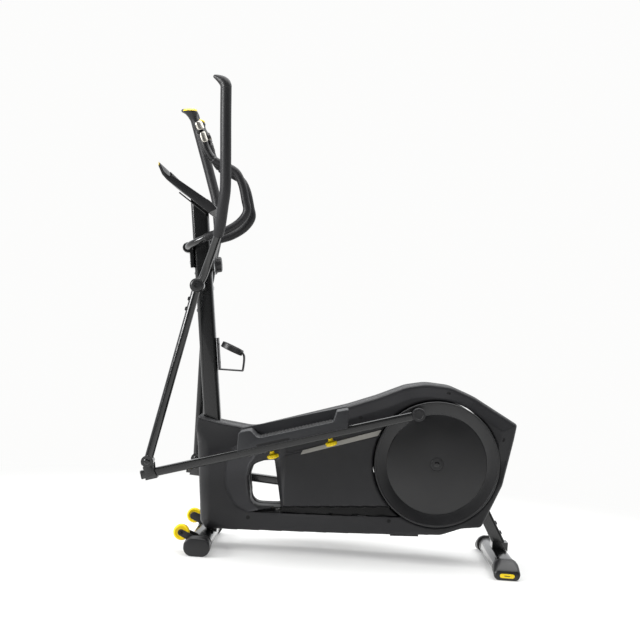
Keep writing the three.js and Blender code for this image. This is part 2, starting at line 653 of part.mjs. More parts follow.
function makeArms() {
  const handle = leftHandle();
  const link = leftLink();
  const toRight = (body, degrees) => turnedBody(mirrored(body), ARM_PIVOT, degrees);
  add('swing_handle_left', handle.tube, glossSteel);
  add('swing_handle_right', toRight(handle.tube, RIGHT_HANDLE_TURN), glossSteel);
  add('swing_grip_left', handle.grip, foam);
  add('swing_grip_right', toRight(handle.grip, RIGHT_HANDLE_TURN), foam);
  add('arm_link_left', link, glossSteel);
  add('arm_link_right', toRight(link, RIGHT_ARM_TURN), glossSteel);
}

// ---------------------------------------------------------------- rods and pedals

// Everything on a rod is made along +X from the joint at the origin, with the rod
// tube's own line kept, then turned and moved to the side it belongs to.
const ROD_LINE = lineOf(LEFT_JOINT, LEFT_PIN);
const TUBE_LINE = lineOf(ROD_FRONT, [ROD_LINE.length, 0]);

function placeRodPart(name, body, material) {
  const put = (part, joint, degrees) => part.rotate([0, -degrees, 0]).translate([joint[0], 0, joint[1]]);
  const leftAngle = ROD_LINE.angle * 180 / Math.PI;
  const rightJoint = turned(LEFT_JOINT, ARM_PIVOT, RIGHT_ARM_TURN);
  add(`${name}_left`, put(body, LEFT_JOINT, leftAngle), material);
  add(`${name}_right`, put(mirrored(body), rightJoint, rightRodAngle(rightJoint)), material);
}

// The right crank pin is opposite the left one; the rod's angle above +X, in degrees,
// is where a rod of the same length from the right joint meets the crank's pin circle.
function rightRodAngle(rightJoint) {
  const crankR = lineOf(CRANK_CENTRE, LEFT_PIN).length;
  const toCentre = lineOf(rightJoint, CRANK_CENTRE);
  const cosine = (ROD_LINE.length ** 2 + toCentre.length ** 2 - crankR ** 2)
    / (2 * ROD_LINE.length * toCentre.length);
  return (toCentre.angle - Math.acos(cosine)) * 180 / Math.PI;
}

function makeRods() {
  const pin = [ROD_LINE.length, 0];
  const stop = 1 - (23.3 + 0.5) / TUBE_LINE.length;
  const tubeEnd = [ROD_FRONT[0] + (pin[0] - ROD_FRONT[0]) * stop, ROD_FRONT[1] * (1 - stop)];
  const lead = ROD_LEAD / TUBE_LINE.length;
  const tubeStart = [ROD_FRONT[0] - (pin[0] - ROD_FRONT[0]) * lead, ROD_FRONT[1] * (1 + lead)];
  const tube = beam(tubeStart, tubeEnd, ROD_HEIGHT, ROD_WIDTH, 6, -ARM_Y);
  placeRodPart('rod_tube', tube, glossSteel);

  const eye = join(
    cylinderY(23.3, -ARM_Y - 17, -ARM_Y + 17, pin),
    cylinderY(14, -ARM_Y + 16, -DISC_LIP_Y - 0.8, pin),
  );
  placeRodPart('rod_eye', eye, plastic);

  const cheekY = 20.5;
  const cheek = (side) => join(
    cylinderY(JOINT_BUSH_R, -ARM_Y + side * cheekY - 3, -ARM_Y + side * cheekY + 3, [0, 0]),
    beam([0, 0], [3, -48], 33, 6, 2, -ARM_Y + side * cheekY),
    beam([-15, -44], [25, -42.2], 34, 6, 2, -ARM_Y + side * cheekY),
  );
  const jointPin = cylinderY(AXLE_R, -ARM_Y - 22, -ARM_Y + 22, [0, 0]);
  const web = beam([-15, -60.5], [25, -58.7], 4, 46, 1, -ARM_Y);
  const fork = join(cheek(1), cheek(-1), jointPin, web).subtract(
    beam(tubeStart, tubeEnd, ROD_HEIGHT + 2 * GAP, ROD_WIDTH + 2 * GAP, 6, -ARM_Y),
  );
  placeRodPart('rod_fork', fork, glossSteel);
}

const PEDAL_OUTLINE = [[0, 0, 3], [384, 0, 3], [402, 62, 8], [360, 63, 8], [341, 32, 10], [80, 32, 24],
  [60, 64, 12], [19, 64, 10]];
const PEDAL_WALL = [[0, 0, 3], [384, 0, 3], [402, 66, 8], [19, 70, 12]];

function makePedals() {
  const tilt = -TUBE_LINE.angle * 180 / Math.PI;
  const rodTop = ROD_HEIGHT / 2 + 0.4;
  const along = PEDAL_START_ALONG;
  const onTube = (body) => body.translate([along, 0, rodTop]).rotate([0, tilt, 0])
    .translate([ROD_FRONT[0], 0, ROD_FRONT[1]]);
  const tray = plate(roundedOutline(PEDAL_OUTLINE), -PEDAL_OUTER_Y, -PEDAL_INNER_Y - 8, 4);
  const wall = plate(roundedOutline(PEDAL_WALL), -PEDAL_INNER_Y - 9, -PEDAL_INNER_Y, 4);
  const underside = box(22, 350, -PEDAL_OUTER_Y + 8, -ARM_Y - 26, -2, 20);
  const bracketSlot = box(70, 185, -PEDAL_OUTER_Y - 5, -PEDAL_OUTER_Y + 3, 4, 12);
  placeRodPart('pedal', onTube(join(tray, wall).subtract(underside).subtract(bracketSlot)), pedalPlastic);
  PEDAL_KNOBS_ALONG.forEach((s, i) => {
    const below = -ROD_HEIGHT - 1.2;
    const knob = turnedAlong([[0, below], [8, below], [8, below - 9], [19, below - 11], [20.5, below - 15],
      [20.5, below - 22], [17, below - 26], [0, below - 26]].reverse(), [s, -ARM_Y, 0], [0, 0, 1]);
    placeRodPart(i === 0 ? 'pedal_knob_front' : 'pedal_knob_rear', onTube(knob), yellow);
  });
}

// ---------------------------------------------------------------- assembly

makeMainFrame();
makeFeet();
makeWheelBrackets();
makeCasing();
makeDrive();
makeMast();
makeHandlebar();
makeConsole();
makeResistanceKnob();
makeBottleHolder();
makeArms();
makeRods();
makePedals();

export default trainer;
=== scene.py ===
# %% [markdown]
# # An elliptical trainer
# A rear-crank trainer: two swing arms hang from a mast, each pulls a long rod, and the rods turn
# a pair of crank discs at the back of a plastic casing. The frame comes from the CAD model. This
# file makes the fine surfaces around it: shells, tubes, foam, pedals, knobs and fasteners.
# Lengths are metres: +X runs to the rear, +Z up, and the user's left side is -Y.

# %% Load the frame
import json
import math

import bmesh
import bpy
import numpy as np
from mathutils import Matrix, Vector
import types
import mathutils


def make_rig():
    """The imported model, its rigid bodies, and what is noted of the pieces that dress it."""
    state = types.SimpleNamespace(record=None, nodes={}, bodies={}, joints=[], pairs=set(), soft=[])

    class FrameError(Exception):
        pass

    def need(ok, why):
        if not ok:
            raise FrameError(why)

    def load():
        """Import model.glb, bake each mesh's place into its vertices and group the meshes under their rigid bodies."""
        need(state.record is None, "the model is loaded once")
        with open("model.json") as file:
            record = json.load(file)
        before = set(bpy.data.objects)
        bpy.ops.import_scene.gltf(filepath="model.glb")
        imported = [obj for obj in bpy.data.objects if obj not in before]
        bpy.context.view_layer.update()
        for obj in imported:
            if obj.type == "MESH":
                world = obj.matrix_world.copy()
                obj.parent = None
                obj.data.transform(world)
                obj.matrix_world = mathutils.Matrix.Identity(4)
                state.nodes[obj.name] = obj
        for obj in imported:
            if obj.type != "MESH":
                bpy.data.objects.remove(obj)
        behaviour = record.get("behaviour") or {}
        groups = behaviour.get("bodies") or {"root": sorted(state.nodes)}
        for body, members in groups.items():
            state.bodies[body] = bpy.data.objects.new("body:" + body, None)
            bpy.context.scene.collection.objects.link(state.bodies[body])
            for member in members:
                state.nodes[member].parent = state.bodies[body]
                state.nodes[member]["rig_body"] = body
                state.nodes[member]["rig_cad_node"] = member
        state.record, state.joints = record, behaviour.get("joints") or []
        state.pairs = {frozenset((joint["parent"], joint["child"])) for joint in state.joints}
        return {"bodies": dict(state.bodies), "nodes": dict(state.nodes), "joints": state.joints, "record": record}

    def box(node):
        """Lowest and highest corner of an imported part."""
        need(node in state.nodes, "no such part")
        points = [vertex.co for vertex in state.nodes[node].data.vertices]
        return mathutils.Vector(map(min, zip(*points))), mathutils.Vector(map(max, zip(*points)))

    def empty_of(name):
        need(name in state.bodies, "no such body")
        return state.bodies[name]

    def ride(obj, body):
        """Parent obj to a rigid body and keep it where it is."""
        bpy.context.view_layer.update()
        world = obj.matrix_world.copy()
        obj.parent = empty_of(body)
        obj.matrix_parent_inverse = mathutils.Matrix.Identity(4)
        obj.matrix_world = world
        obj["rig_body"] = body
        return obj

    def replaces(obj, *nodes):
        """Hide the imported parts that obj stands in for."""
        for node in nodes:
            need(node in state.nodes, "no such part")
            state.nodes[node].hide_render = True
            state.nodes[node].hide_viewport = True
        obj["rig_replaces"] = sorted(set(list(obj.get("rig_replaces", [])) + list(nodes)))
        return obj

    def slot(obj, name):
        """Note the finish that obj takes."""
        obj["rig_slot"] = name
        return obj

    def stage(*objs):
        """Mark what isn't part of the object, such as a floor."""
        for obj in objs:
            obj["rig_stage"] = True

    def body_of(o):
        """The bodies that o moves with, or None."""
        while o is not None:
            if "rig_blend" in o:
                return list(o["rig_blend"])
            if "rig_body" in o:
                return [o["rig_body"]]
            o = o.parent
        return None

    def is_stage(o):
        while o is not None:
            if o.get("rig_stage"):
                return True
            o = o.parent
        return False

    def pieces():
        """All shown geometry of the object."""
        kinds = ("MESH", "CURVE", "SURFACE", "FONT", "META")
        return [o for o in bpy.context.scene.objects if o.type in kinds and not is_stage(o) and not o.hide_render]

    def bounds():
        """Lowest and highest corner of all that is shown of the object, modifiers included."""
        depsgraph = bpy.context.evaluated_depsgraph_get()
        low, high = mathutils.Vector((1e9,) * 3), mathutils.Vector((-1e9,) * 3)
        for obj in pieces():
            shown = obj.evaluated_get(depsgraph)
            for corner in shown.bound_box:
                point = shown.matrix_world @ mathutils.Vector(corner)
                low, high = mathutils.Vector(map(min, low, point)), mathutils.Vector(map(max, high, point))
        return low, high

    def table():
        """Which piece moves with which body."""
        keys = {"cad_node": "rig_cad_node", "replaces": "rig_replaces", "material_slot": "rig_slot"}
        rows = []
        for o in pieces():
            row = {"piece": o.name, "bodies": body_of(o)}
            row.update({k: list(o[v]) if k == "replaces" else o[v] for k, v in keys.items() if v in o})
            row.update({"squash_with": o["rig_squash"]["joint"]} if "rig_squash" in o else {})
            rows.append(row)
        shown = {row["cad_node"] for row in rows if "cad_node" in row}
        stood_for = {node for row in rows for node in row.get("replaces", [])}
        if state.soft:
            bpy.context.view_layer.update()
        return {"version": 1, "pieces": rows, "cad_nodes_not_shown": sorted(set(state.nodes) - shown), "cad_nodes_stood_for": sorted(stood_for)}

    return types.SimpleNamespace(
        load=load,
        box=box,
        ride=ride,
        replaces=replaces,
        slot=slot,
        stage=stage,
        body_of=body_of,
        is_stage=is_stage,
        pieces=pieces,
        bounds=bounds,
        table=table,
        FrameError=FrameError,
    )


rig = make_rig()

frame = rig.load()
cad_box = [list(corner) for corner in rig.bounds()]
joints = {joint["name"]: joint for joint in frame["record"]["behaviour"]["joints"]}
MM = 0.001
SIDES = (("left", -1), ("right", 1))
print("frame:", len(frame["nodes"]), "nodes, box", np.round(cad_box, 3).tolist())

# %% [markdown]
# ## The camera, floor and light
# A long lens stands at about waist height, well back from the user's left side, and is tipped
# a few degrees about its own line of sight. The floor and the room are almost white. A wide soft
# light hangs overhead, with a second one to the front of the machine, and the room is brighter
# behind the machine than behind the camera, which gives the dark plastics their pale edges.

# %% Camera
CAMERA_DISTANCE = 4.65
CAMERA_HEIGHT = 0.808
CAMERA_ROLL = math.radians(4)
LENS_MM = 72.7
SENSOR_MM = 36
LENS_SHIFT = (-0.0297, 0.0125)

camera = bpy.data.objects.new("camera", bpy.data.cameras.new("camera"))
camera.data.sensor_width = SENSOR_MM
camera.data.lens = LENS_MM
camera.data.shift_x, camera.data.shift_y = LENS_SHIFT
camera.data.clip_end = 200
camera.matrix_world = (Matrix.Translation((0, -CAMERA_DISTANCE, CAMERA_HEIGHT))
                       @ Matrix.Rotation(math.pi / 2, 4, "X") @ Matrix.Rotation(CAMERA_ROLL, 4, "Z"))
bpy.context.scene.collection.objects.link(camera)
bpy.context.scene.camera = camera
bpy.context.scene.view_settings.view_transform = "Standard"
print("camera:", LENS_MM, "mm lens at", CAMERA_DISTANCE, "m")


# %% Colour and node helpers
def linear(code):
    """An sRGB hex colour as linear RGBA: each channel is divided by 12.92 or raised to 2.4."""
    parts = np.array([int(code[i:i + 2], 16) / 255 for i in (1, 3, 5)])
    low, high = parts / 12.92, ((parts + 0.055) / 1.055) ** 2.4
    return (*np.where(parts <= 0.04045, low, high).tolist(), 1.0)


def add_node(tree, kind, settings=None, **inputs):
    """Adds a node. Settings are its own fields. An input is named by its label, or by i and its
    number, and is a value or another node's socket."""
    node = tree.nodes.new(kind)
    for field, value in (settings or {}).items():
        setattr(node, field, value)
    for name, value in inputs.items():
        numbered = name[0] == "i" and name[1:].isdigit()
        socket = node.inputs[int(name[1:]) if numbered else name.replace("_", " ")]
        if isinstance(value, bpy.types.NodeSocket):
            tree.links.new(value, socket)
        else:
            socket.default_value = value
    return node


def new_material(name):
    """A material with an empty node tree, and that tree."""
    material = bpy.data.materials.new(name)
    material.use_nodes = True
    material.node_tree.nodes.clear()
    return material, material.node_tree


# %% Floor, room and lights
FLOOR_SIZE = 60
ROOM_WHITE = (1, 1, 0.995, 1)
ROOM_STRENGTH = 0.975
floor_mesh = bpy.data.meshes.new("studio_floor")
half = FLOOR_SIZE / 2
floor_mesh.from_pydata([(-half, -half, 0), (half, -half, 0), (half, half, 0), (-half, half, 0)], [],
                       [(0, 1, 2, 3)])
floor = bpy.data.objects.new("studio_floor", floor_mesh)
bpy.context.scene.collection.objects.link(floor)
floor.location.z = -0.0005
paper, tree = new_material("white_paper_floor")
shade = add_node(tree, "ShaderNodeBsdfPrincipled", Base_Color=(0.86, 0.86, 0.85, 1), Roughness=0.7)
shade.inputs["Specular IOR Level"].default_value = 0.2
spot = add_node(tree, "ShaderNodeTexCoord")
far = add_node(tree, "ShaderNodeVectorMath", {"operation": "LENGTH"}, i0=spot.outputs["Object"])
fade = add_node(tree, "ShaderNodeMapRange", {"interpolation_type": "SMOOTHSTEP"}, Value=far.outputs["Value"],
                From_Min=0.9, From_Max=2.4, To_Min=0.3)
glow = add_node(tree, "ShaderNodeEmission", Color=ROOM_WHITE, Strength=ROOM_STRENGTH)
mix = add_node(tree, "ShaderNodeMixShader", i0=fade.outputs[0], i1=shade.outputs[0], i2=glow.outputs[0])
add_node(tree, "ShaderNodeOutputMaterial", Surface=mix.outputs[0])
floor_mesh.materials.append(paper)
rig.stage(floor)

world = bpy.data.worlds.new("white_room")
bpy.context.scene.world = world
world.use_nodes = True
tree = world.node_tree
tree.nodes.clear()
seen = add_node(tree, "ShaderNodeBackground", Color=ROOM_WHITE, Strength=ROOM_STRENGTH)
way = add_node(tree, "ShaderNodeTexCoord")
parts = add_node(tree, "ShaderNodeSeparateXYZ", Vector=way.outputs["Generated"])
wash = add_node(tree, "ShaderNodeMapRange", {"interpolation_type": "SMOOTHSTEP"}, Value=parts.outputs["Y"],
                From_Min=-0.75, From_Max=0.45, To_Min=0.07, To_Max=0.85)
lit = add_node(tree, "ShaderNodeBackground", Color=(0.97, 0.985, 1, 1), Strength=wash.outputs[0])
path = add_node(tree, "ShaderNodeLightPath")
mix = add_node(tree, "ShaderNodeMixShader", i0=path.outputs["Is Camera Ray"], i1=lit.outputs[0],
               i2=seen.outputs[0])
add_node(tree, "ShaderNodeOutputWorld", Surface=mix.outputs[0])


def area_light(name, spot, aim, size, power, colour=(1, 1, 1)):
    """A square soft light at a spot, turned to face a point."""
    lamp = bpy.data.lights.new(name, "AREA")
    lamp.shape = "SQUARE"
    lamp.size = size
    lamp.energy = power
    lamp.color = colour
    thing = bpy.data.objects.new(name, lamp)
    away = np.array(spot, float) - np.array(aim, float)
    thing.rotation_euler = Vector(away.tolist()).to_track_quat("Z", "Y").to_euler()
    thing.location = spot
    bpy.context.scene.collection.objects.link(thing)
    return thing


area_light("overhead_softbox", (0.2, 0.4, 4.2), (0, 0, 0), 6.0, 300)
area_light("front_softbox", (-3.6, -1.9, 2.0), (-0.3, 0, 0.8), 1.6, 150)
print("stage: floor, room and two soft lights")

# %% [markdown]
# ## Surfaces from arrays
# Every piece is worked out as arrays of points: a grid of rows and columns joined by quads, a
# section carried along a path, or a turned profile. These helpers only join the points up.


# %% Mesh helpers
def build(name, points, faces, material, sharp=35):
    """A mesh object from points and faces, smooth except where faces meet at more than an angle."""
    mesh = bpy.data.meshes.new(name)
    mesh.from_pydata(np.asarray(points, float).tolist(), [], [list(map(int, face)) for face in faces])
    merged = bmesh.new()
    merged.from_mesh(mesh)
    bmesh.ops.remove_doubles(merged, verts=merged.verts, dist=2e-6)
    merged.to_mesh(mesh)
    merged.free()
    mesh.shade_smooth()
    mesh.set_sharp_from_angle(angle=math.radians(sharp))
    mesh.materials.append(material)
    piece = bpy.data.objects.new(name, mesh)
    bpy.context.scene.collection.objects.link(piece)
    return piece


def grid_faces(rows, columns, first=0):
    """Quads between the neighbouring rows of a grid whose columns close on themselves."""
    r, c = np.meshgrid(np.arange(rows - 1), np.arange(columns), indexing="ij")
    right = (c + 1) % columns
    here, above = r * columns, (r + 1) * columns
    quads = np.stack([here + c, here + right, above + right, above + c], -1)
    return (quads.reshape(-1, 4) + first).tolist()


def skin(name, grid, material, sharp=35, closed=False):
    """A closed piece from rings of points: grid[row, column]; both end rings are capped by a
    face, or joined to each other when the rows close. It is turned right side out at the end."""
    rows, columns = grid.shape[:2]
    faces = grid_faces(rows, columns)
    if closed:
        last = np.arange(columns) + (rows - 1) * columns
        nxt = np.roll(np.arange(columns), -1)
        faces += np.stack([last, last[nxt], nxt, np.arange(columns)], -1).tolist()
    else:
        faces.append(list(range(columns))[::-1])
        faces.append(list(range((rows - 1) * columns, rows * columns)))
    points = grid.reshape(-1, 3)
    if inside_out(points, faces):
        faces = [face[::-1] for face in faces]
    return build(name, points, faces, material, sharp)


def inside_out(points, faces):
    """True where the volume, summed over the faces' triangle fans, is negative."""
    fans = [(f[0], f[i], f[i + 1]) for f in faces for i in range(1, len(f) - 1)]
    a, b, c = (points[np.array(column)] for column in zip(*fans))
    return float(np.einsum("ij,ij->i", a, np.cross(b, c)).sum()) < 0


def curve_through(knots, count):
    """A smooth path through knots: cubic pieces whose slopes are the centripetal Catmull-Rom
    ones, resampled to count points at equal steps of length."""
    knots = np.asarray(knots, float)
    ends = np.vstack([2 * knots[0] - knots[1], knots, 2 * knots[-1] - knots[-2]])
    gaps = np.sqrt(np.linalg.norm(np.diff(ends, axis=0), axis=1))[:, None]
    steps = np.diff(ends, axis=0) / gaps
    wide = (ends[2:] - ends[:-2]) / (gaps[1:] + gaps[:-1])
    slopes = steps[:-1] - wide + steps[1:]
    t = np.linspace(0, 1, 40)[None, :, None]
    p0, p1, m0, m1 = knots[:-1, None], knots[1:, None], slopes[:-1, None], slopes[1:, None]
    gap = gaps[1:-1][:, None]
    fine = ((2 * t**3 - 3 * t**2 + 1) * p0 + (t**3 - 2 * t**2 + t) * m0 * gap
            + (3 * t**2 - 2 * t**3) * p1 + (t**3 - t**2) * m1 * gap).reshape(-1, 3)
    return resample(fine, count)


def resample(points, count):
    """Points at equal steps of length along a line of points."""
    travel = np.concatenate([[0], np.cumsum(np.linalg.norm(np.diff(points, axis=0), axis=1))])
    where = np.linspace(0, travel[-1], count)
    return np.stack([np.interp(where, travel, points[:, axis]) for axis in range(3)], -1)


def frames(path, up):
    """Two directions across a path at each point: the first is up with its part along the path
    taken out, so a section keeps its own top side."""
    along = np.gradient(path, axis=0)
    along /= np.linalg.norm(along, axis=1)[:, None]
    across = np.asarray(up, float) - along * (along @ np.asarray(up, float))[:, None]
    across /= np.linalg.norm(across, axis=1)[:, None]
    return across, np.cross(along, across)


def sweep(name, path, section, material, up=(0, 1, 0), scale=None, sharp=35):
    """A section of (across, side) points carried along a path, with a scale at each point."""
    across, side = frames(path, up)
    scale = np.ones(len(path)) if scale is None else np.asarray(scale)
    grid = (path[:, None] + (across[:, None] * section[None, :, :1]
            + side[:, None] * section[None, :, 1:]) * scale[:, None, None])
    return skin(name, grid, material, sharp)


def circle(radius, count=32):
    """Points round a circle."""
    angle = np.linspace(0, 2 * math.pi, count, endpoint=False)
    return radius * np.stack([np.cos(angle), np.sin(angle)], -1)


def rounded_box(width, height, radius, count=8):
    """A rectangle's outline with a quarter circle at each corner."""
    angle = np.linspace(0, math.pi / 2, count)
    parts = []
    for turn, (sx, sy) in enumerate(((1, 1), (-1, 1), (-1, -1), (1, -1))):
        corner = np.array([sx * (width / 2 - radius), sy * (height / 2 - radius)])
        bend = angle + turn * math.pi / 2
        parts.append(corner + radius * np.stack([np.cos(bend), np.sin(bend)], -1))
    return np.vstack(parts)


def turned(name, profile, spot, axis, material, count=48, lobes=None, sharp=30):
    """A profile of (radius, along) points turned about an axis; lobes(angle, along) may scale
    the radius. A profile that doesn't reach the axis closes on itself as a ring."""
    profile = np.asarray(profile, float)
    ring = bool(np.allclose(profile[0], profile[-1]))
    profile = profile[:-1] if ring else profile
    axis = np.asarray(axis, float) / np.linalg.norm(axis)
    helper = np.array([0, 0, 1.0]) if abs(axis[2]) < 0.9 else np.array([1.0, 0, 0])
    first = np.cross(helper, axis)
    first /= np.linalg.norm(first)
    second = np.cross(axis, first)
    angle = np.linspace(0, 2 * math.pi, count, endpoint=False)[None, :]
    radius = profile[:, :1] * (lobes(angle, profile[:, 1:]) if lobes else np.ones_like(angle))
    grid = (np.asarray(spot, float) + profile[:, 1:, None] * axis
            + (radius * np.cos(angle))[..., None] * first + (radius * np.sin(angle))[..., None] * second)
    return skin(name, grid, material, sharp, closed=ring)


def prism(name, outline, low, high, material, edge=0.0015, sharp=35):
    """A side-view outline of (x, z) points given thickness along Y, its two rims rounded by a
    quarter circle: each ring of the rim is the outline moved in along its own normals."""
    outline = np.asarray(outline, float)
    before, after = np.roll(outline, 1, 0), np.roll(outline, -1, 0)
    tangent = after - before
    tangent /= np.linalg.norm(tangent, axis=1)[:, None]
    area = np.sum(outline[:, 0] * after[:, 1] - after[:, 0] * outline[:, 1])
    inward = np.stack([-tangent[:, 1], tangent[:, 0]], -1) * np.sign(area)
    bend = np.linspace(0, math.pi / 2, 5)
    ins = edge * (1 - np.sin(bend))
    outs = edge * (1 - np.cos(bend))
    rows = [(i, low + o) for i, o in zip(ins, outs)]
    rows += [(i, high - o) for i, o in zip(ins[::-1], outs[::-1])]
    grid = np.stack([np.stack([outline[:, 0] + inward[:, 0] * i, np.full(len(outline), y),
                               outline[:, 1] + inward[:, 1] * i], -1) for i, y in rows])
    return skin(name, grid, material, sharp)


def rounded(corners, steps=6):
    """An outline through (x, z, radius) corners, each rounded by a quadratic curve."""
    corners = np.asarray(corners, float)
    points = []
    for before, here, after in zip(np.roll(corners, 1, 0), corners, np.roll(corners, -1, 0)):
        a, b = before[:2] - here[:2], after[:2] - here[:2]
        a, b = a / np.linalg.norm(a), b / np.linalg.norm(b)
        reach = here[2] / math.tan(max(math.acos(np.clip(a @ b, -1, 1)) / 2, 0.05))
        t = np.linspace(0, 1, steps)[:, None]
        start, middle, end = here[:2] + a * reach, here[:2], here[:2] + b * reach
        points.append((1 - t)**2 * start + 2 * t * (1 - t) * middle + t**2 * end)
    points = np.vstack(points)
    keep = np.linalg.norm(points - np.roll(points, 1, 0), axis=1) > 2e-5
    return points[keep]


def mirrored(points):
    """The same points on the other side of the middle plane."""
    return np.asarray(points, float) * [1, -1, 1]


def place(piece, body, slot, *nodes):
    """Rides a piece on its body, names its finish and the solids that it stands for."""
    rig.ride(piece, body)
    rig.slot(piece, slot)
    if nodes:
        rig.replaces(piece, *nodes)
    return piece


print("helpers: skins, sweeps, turned parts and prisms")

# %% [markdown]
# ## Finishes
# Almost everything is near-black, so the pieces are told apart by how they shine: textured ABS
# scatters light, powder coat carries long highlights, foam has none. Grains finer than about
# half a millimetre would not show, so they are drawn a little coarser than they are.


# %% A finish with a fine grain
def grained(name, colour, roughness, grain_mm, depth_mm, spread=0.05, tone=0.15, level=0.5, ior=1.5,
            coat=0.0):
    """A dielectric whose grain is noise at a size in mm: it lifts the surface, moves the
    roughness by spread either way, and lightens or darkens the colour by a share, tone."""
    material, tree = new_material(name)
    spot = add_node(tree, "ShaderNodeTexCoord")
    fine = add_node(tree, "ShaderNodeTexNoise", Vector=spot.outputs["Object"], Scale=1 / (grain_mm * MM),
                    Detail=2.0)
    broad = add_node(tree, "ShaderNodeTexNoise", Vector=spot.outputs["Object"], Scale=9.0, Detail=3.0)
    rough = add_node(tree, "ShaderNodeMapRange", Value=broad.outputs["Fac"], From_Min=0.3, From_Max=0.7,
                     To_Min=roughness - spread, To_Max=roughness + spread)
    base = np.array(linear(colour))
    dark, pale = base * [1 - tone, 1 - tone, 1 - tone, 1], base * [1 + tone, 1 + tone, 1 + tone, 1]
    mixed = add_node(tree, "ShaderNodeMix", {"data_type": "RGBA"}, i0=fine.outputs["Fac"],
                     i6=tuple(dark), i7=tuple(pale))
    bump = add_node(tree, "ShaderNodeBump", Strength=0.6, Distance=depth_mm * MM, Height=fine.outputs["Fac"])
    shader = add_node(tree, "ShaderNodeBsdfPrincipled", Base_Color=mixed.outputs[2],
                      Roughness=rough.outputs[0], Normal=bump.outputs[0])
    shader.inputs["IOR"].default_value = ior
    shader.inputs["Specular IOR Level"].default_value = level
    shader.inputs["Coat Weight"].default_value = coat
    add_node(tree, "ShaderNodeOutputMaterial", Surface=shader.outputs[0])
    return material


# %% The plastics, foams and paints
# The casing: a spark-eroded texture that spreads light softly, with no sharp highlight.
casing_abs = grained("spark_textured_abs", "#17171a", 0.5, 0.9, 0.05, tone=0.12, level=0.45, ior=1.54)
# The recessed strip: smoother and darker than the casing round it.
groove_abs = grained("dark_satin_abs", "#060607", 0.3, 1.2, 0.01, tone=0.1, level=0.2, ior=1.54)
# The band in front of the window: a finer texture that looks paler.
crescent_abs = grained("fine_textured_abs", "#2a2a2d", 0.6, 0.7, 0.04, tone=0.08, level=0.45, ior=1.54)
# Hub caps and the display frame: polished, with sharp reflections.
gloss_abs = grained("polished_abs", "#0b0b0d", 0.16, 6.0, 0.004, spread=0.03, tone=0.1, level=0.5, ior=1.54)
# Tubes: a gloss coat over fine orange peel, with long highlights.
powder_coat = grained("gloss_powder_coat", "#08090a", 0.2, 2.4, 0.012, spread=0.03, tone=0.1, level=0.6,
                      coat=0.3)
# Grips: closed cells that give a dull, slightly mottled sheen.
foam_rubber = grained("closed_cell_foam_rubber", "#18181a", 0.46, 0.8, 0.06, spread=0.05, tone=0.2, level=0.4)
# Trays: glass fibres near the surface blur the highlight.
pedal_nylon = grained("glass_filled_nylon", "#1c1d20", 0.48, 0.8, 0.05, tone=0.15, level=0.5, ior=1.53)
# Treads, belts and screw covers: almost no shine.
soft_rubber = grained("moulded_rubber", "#0f0f10", 0.7, 1.0, 0.05, tone=0.15, level=0.4)
# Discs, caps and the console: a blurred highlight on a plain surface.
satin_abs = grained("satin_abs", "#101012", 0.4, 0.8, 0.03, tone=0.12, level=0.5, ior=1.54)
# Wheels, buttons and hand screws: one clear yellow, half gloss.
yellow_nylon = grained("yellow_moulded_nylon", "#ffdd00", 0.38, 1.5, 0.02, tone=0.05, level=0.5, ior=1.53)
# The printed line: metal flakes in ink, drawn as a plain grey.
decal_film = grained("silver_printed_film", "#8f8d87", 0.35, 0.5, 0.005, tone=0.06, level=0.5)
# The display: a nearly black, glass-smooth cover.
display_cover = grained("tinted_acrylic", "#07080a", 0.07, 20, 0.001, spread=0.02, tone=0.05, level=0.5,
                        ior=1.49)
print("finishes:", len(bpy.data.materials), "materials so far")


# %% [markdown]
# ## Bare metals
# Only small parts are bare metal: zinc-plated screws, the stainless pulse plates, blackened bolts
# and the flywheel. A metal has no colour of its own beneath its reflection, so each one needs only
# a tint, a roughness, and the fine lines that turning or brushing leaves in it.

# %% The bare metals
def metal(name, colour, roughness, grain_mm):
    """A metal whose brushing is noise stretched ten times along Y."""
    material, tree = new_material(name)
    spot = add_node(tree, "ShaderNodeTexCoord")
    stretch = add_node(tree, "ShaderNodeMapping", Vector=spot.outputs["Object"], Scale=(1.0, 0.1, 1.0))
    lines = add_node(tree, "ShaderNodeTexNoise", Vector=stretch.outputs[0], Scale=1 / (grain_mm * MM),
                     Detail=2.0)
    rough = add_node(tree, "ShaderNodeMapRange", Value=lines.outputs["Fac"], To_Min=roughness - 0.08,
                     To_Max=roughness + 0.08)
    bump = add_node(tree, "ShaderNodeBump", Strength=0.3, Distance=0.02 * MM, Height=lines.outputs["Fac"])
    shader = add_node(tree, "ShaderNodeBsdfPrincipled", Base_Color=linear(colour), Metallic=1.0,
                      Roughness=rough.outputs[0], Normal=bump.outputs[0])
    add_node(tree, "ShaderNodeOutputMaterial", Surface=shader.outputs[0])
    return material


# Shafts, the dial's ring and the clamp's two bolts: pale and slightly dull.
zinc = metal("zinc_plated_steel", "#b9bbbd", 0.35, 0.8)
# Pulse plates: brushed, with a warm tint.
stainless = metal("brushed_stainless_steel", "#cfcbc2", 0.3, 0.6)
# Blackened bolts: dark, but still metallic where light glances off.
black_oxide = metal("black_oxide_steel", "#2a2a2c", 0.35, 0.8)
# The flywheel: coarser turning lines and a broad shine.
cast_iron = metal("machined_cast_iron", "#6d6c6a", 0.45, 1.2)
print("finishes:", len(bpy.data.materials), "materials in all")

# %% [markdown]
# ## The casing
# The real casing is two moulded shells screwed together along the middle. Each one is a
# flat side with a rounded crown, a shoulder along its top, a raised panel, and openings for the
# crank disc and a window. It could be boxes cut with booleans, but the soft shoulders would be
# lost. Here each side is one grid in side view: every point's distance to the outlines decides
# how far out it lies, and points next to an outline are moved onto it, so the edges are true.

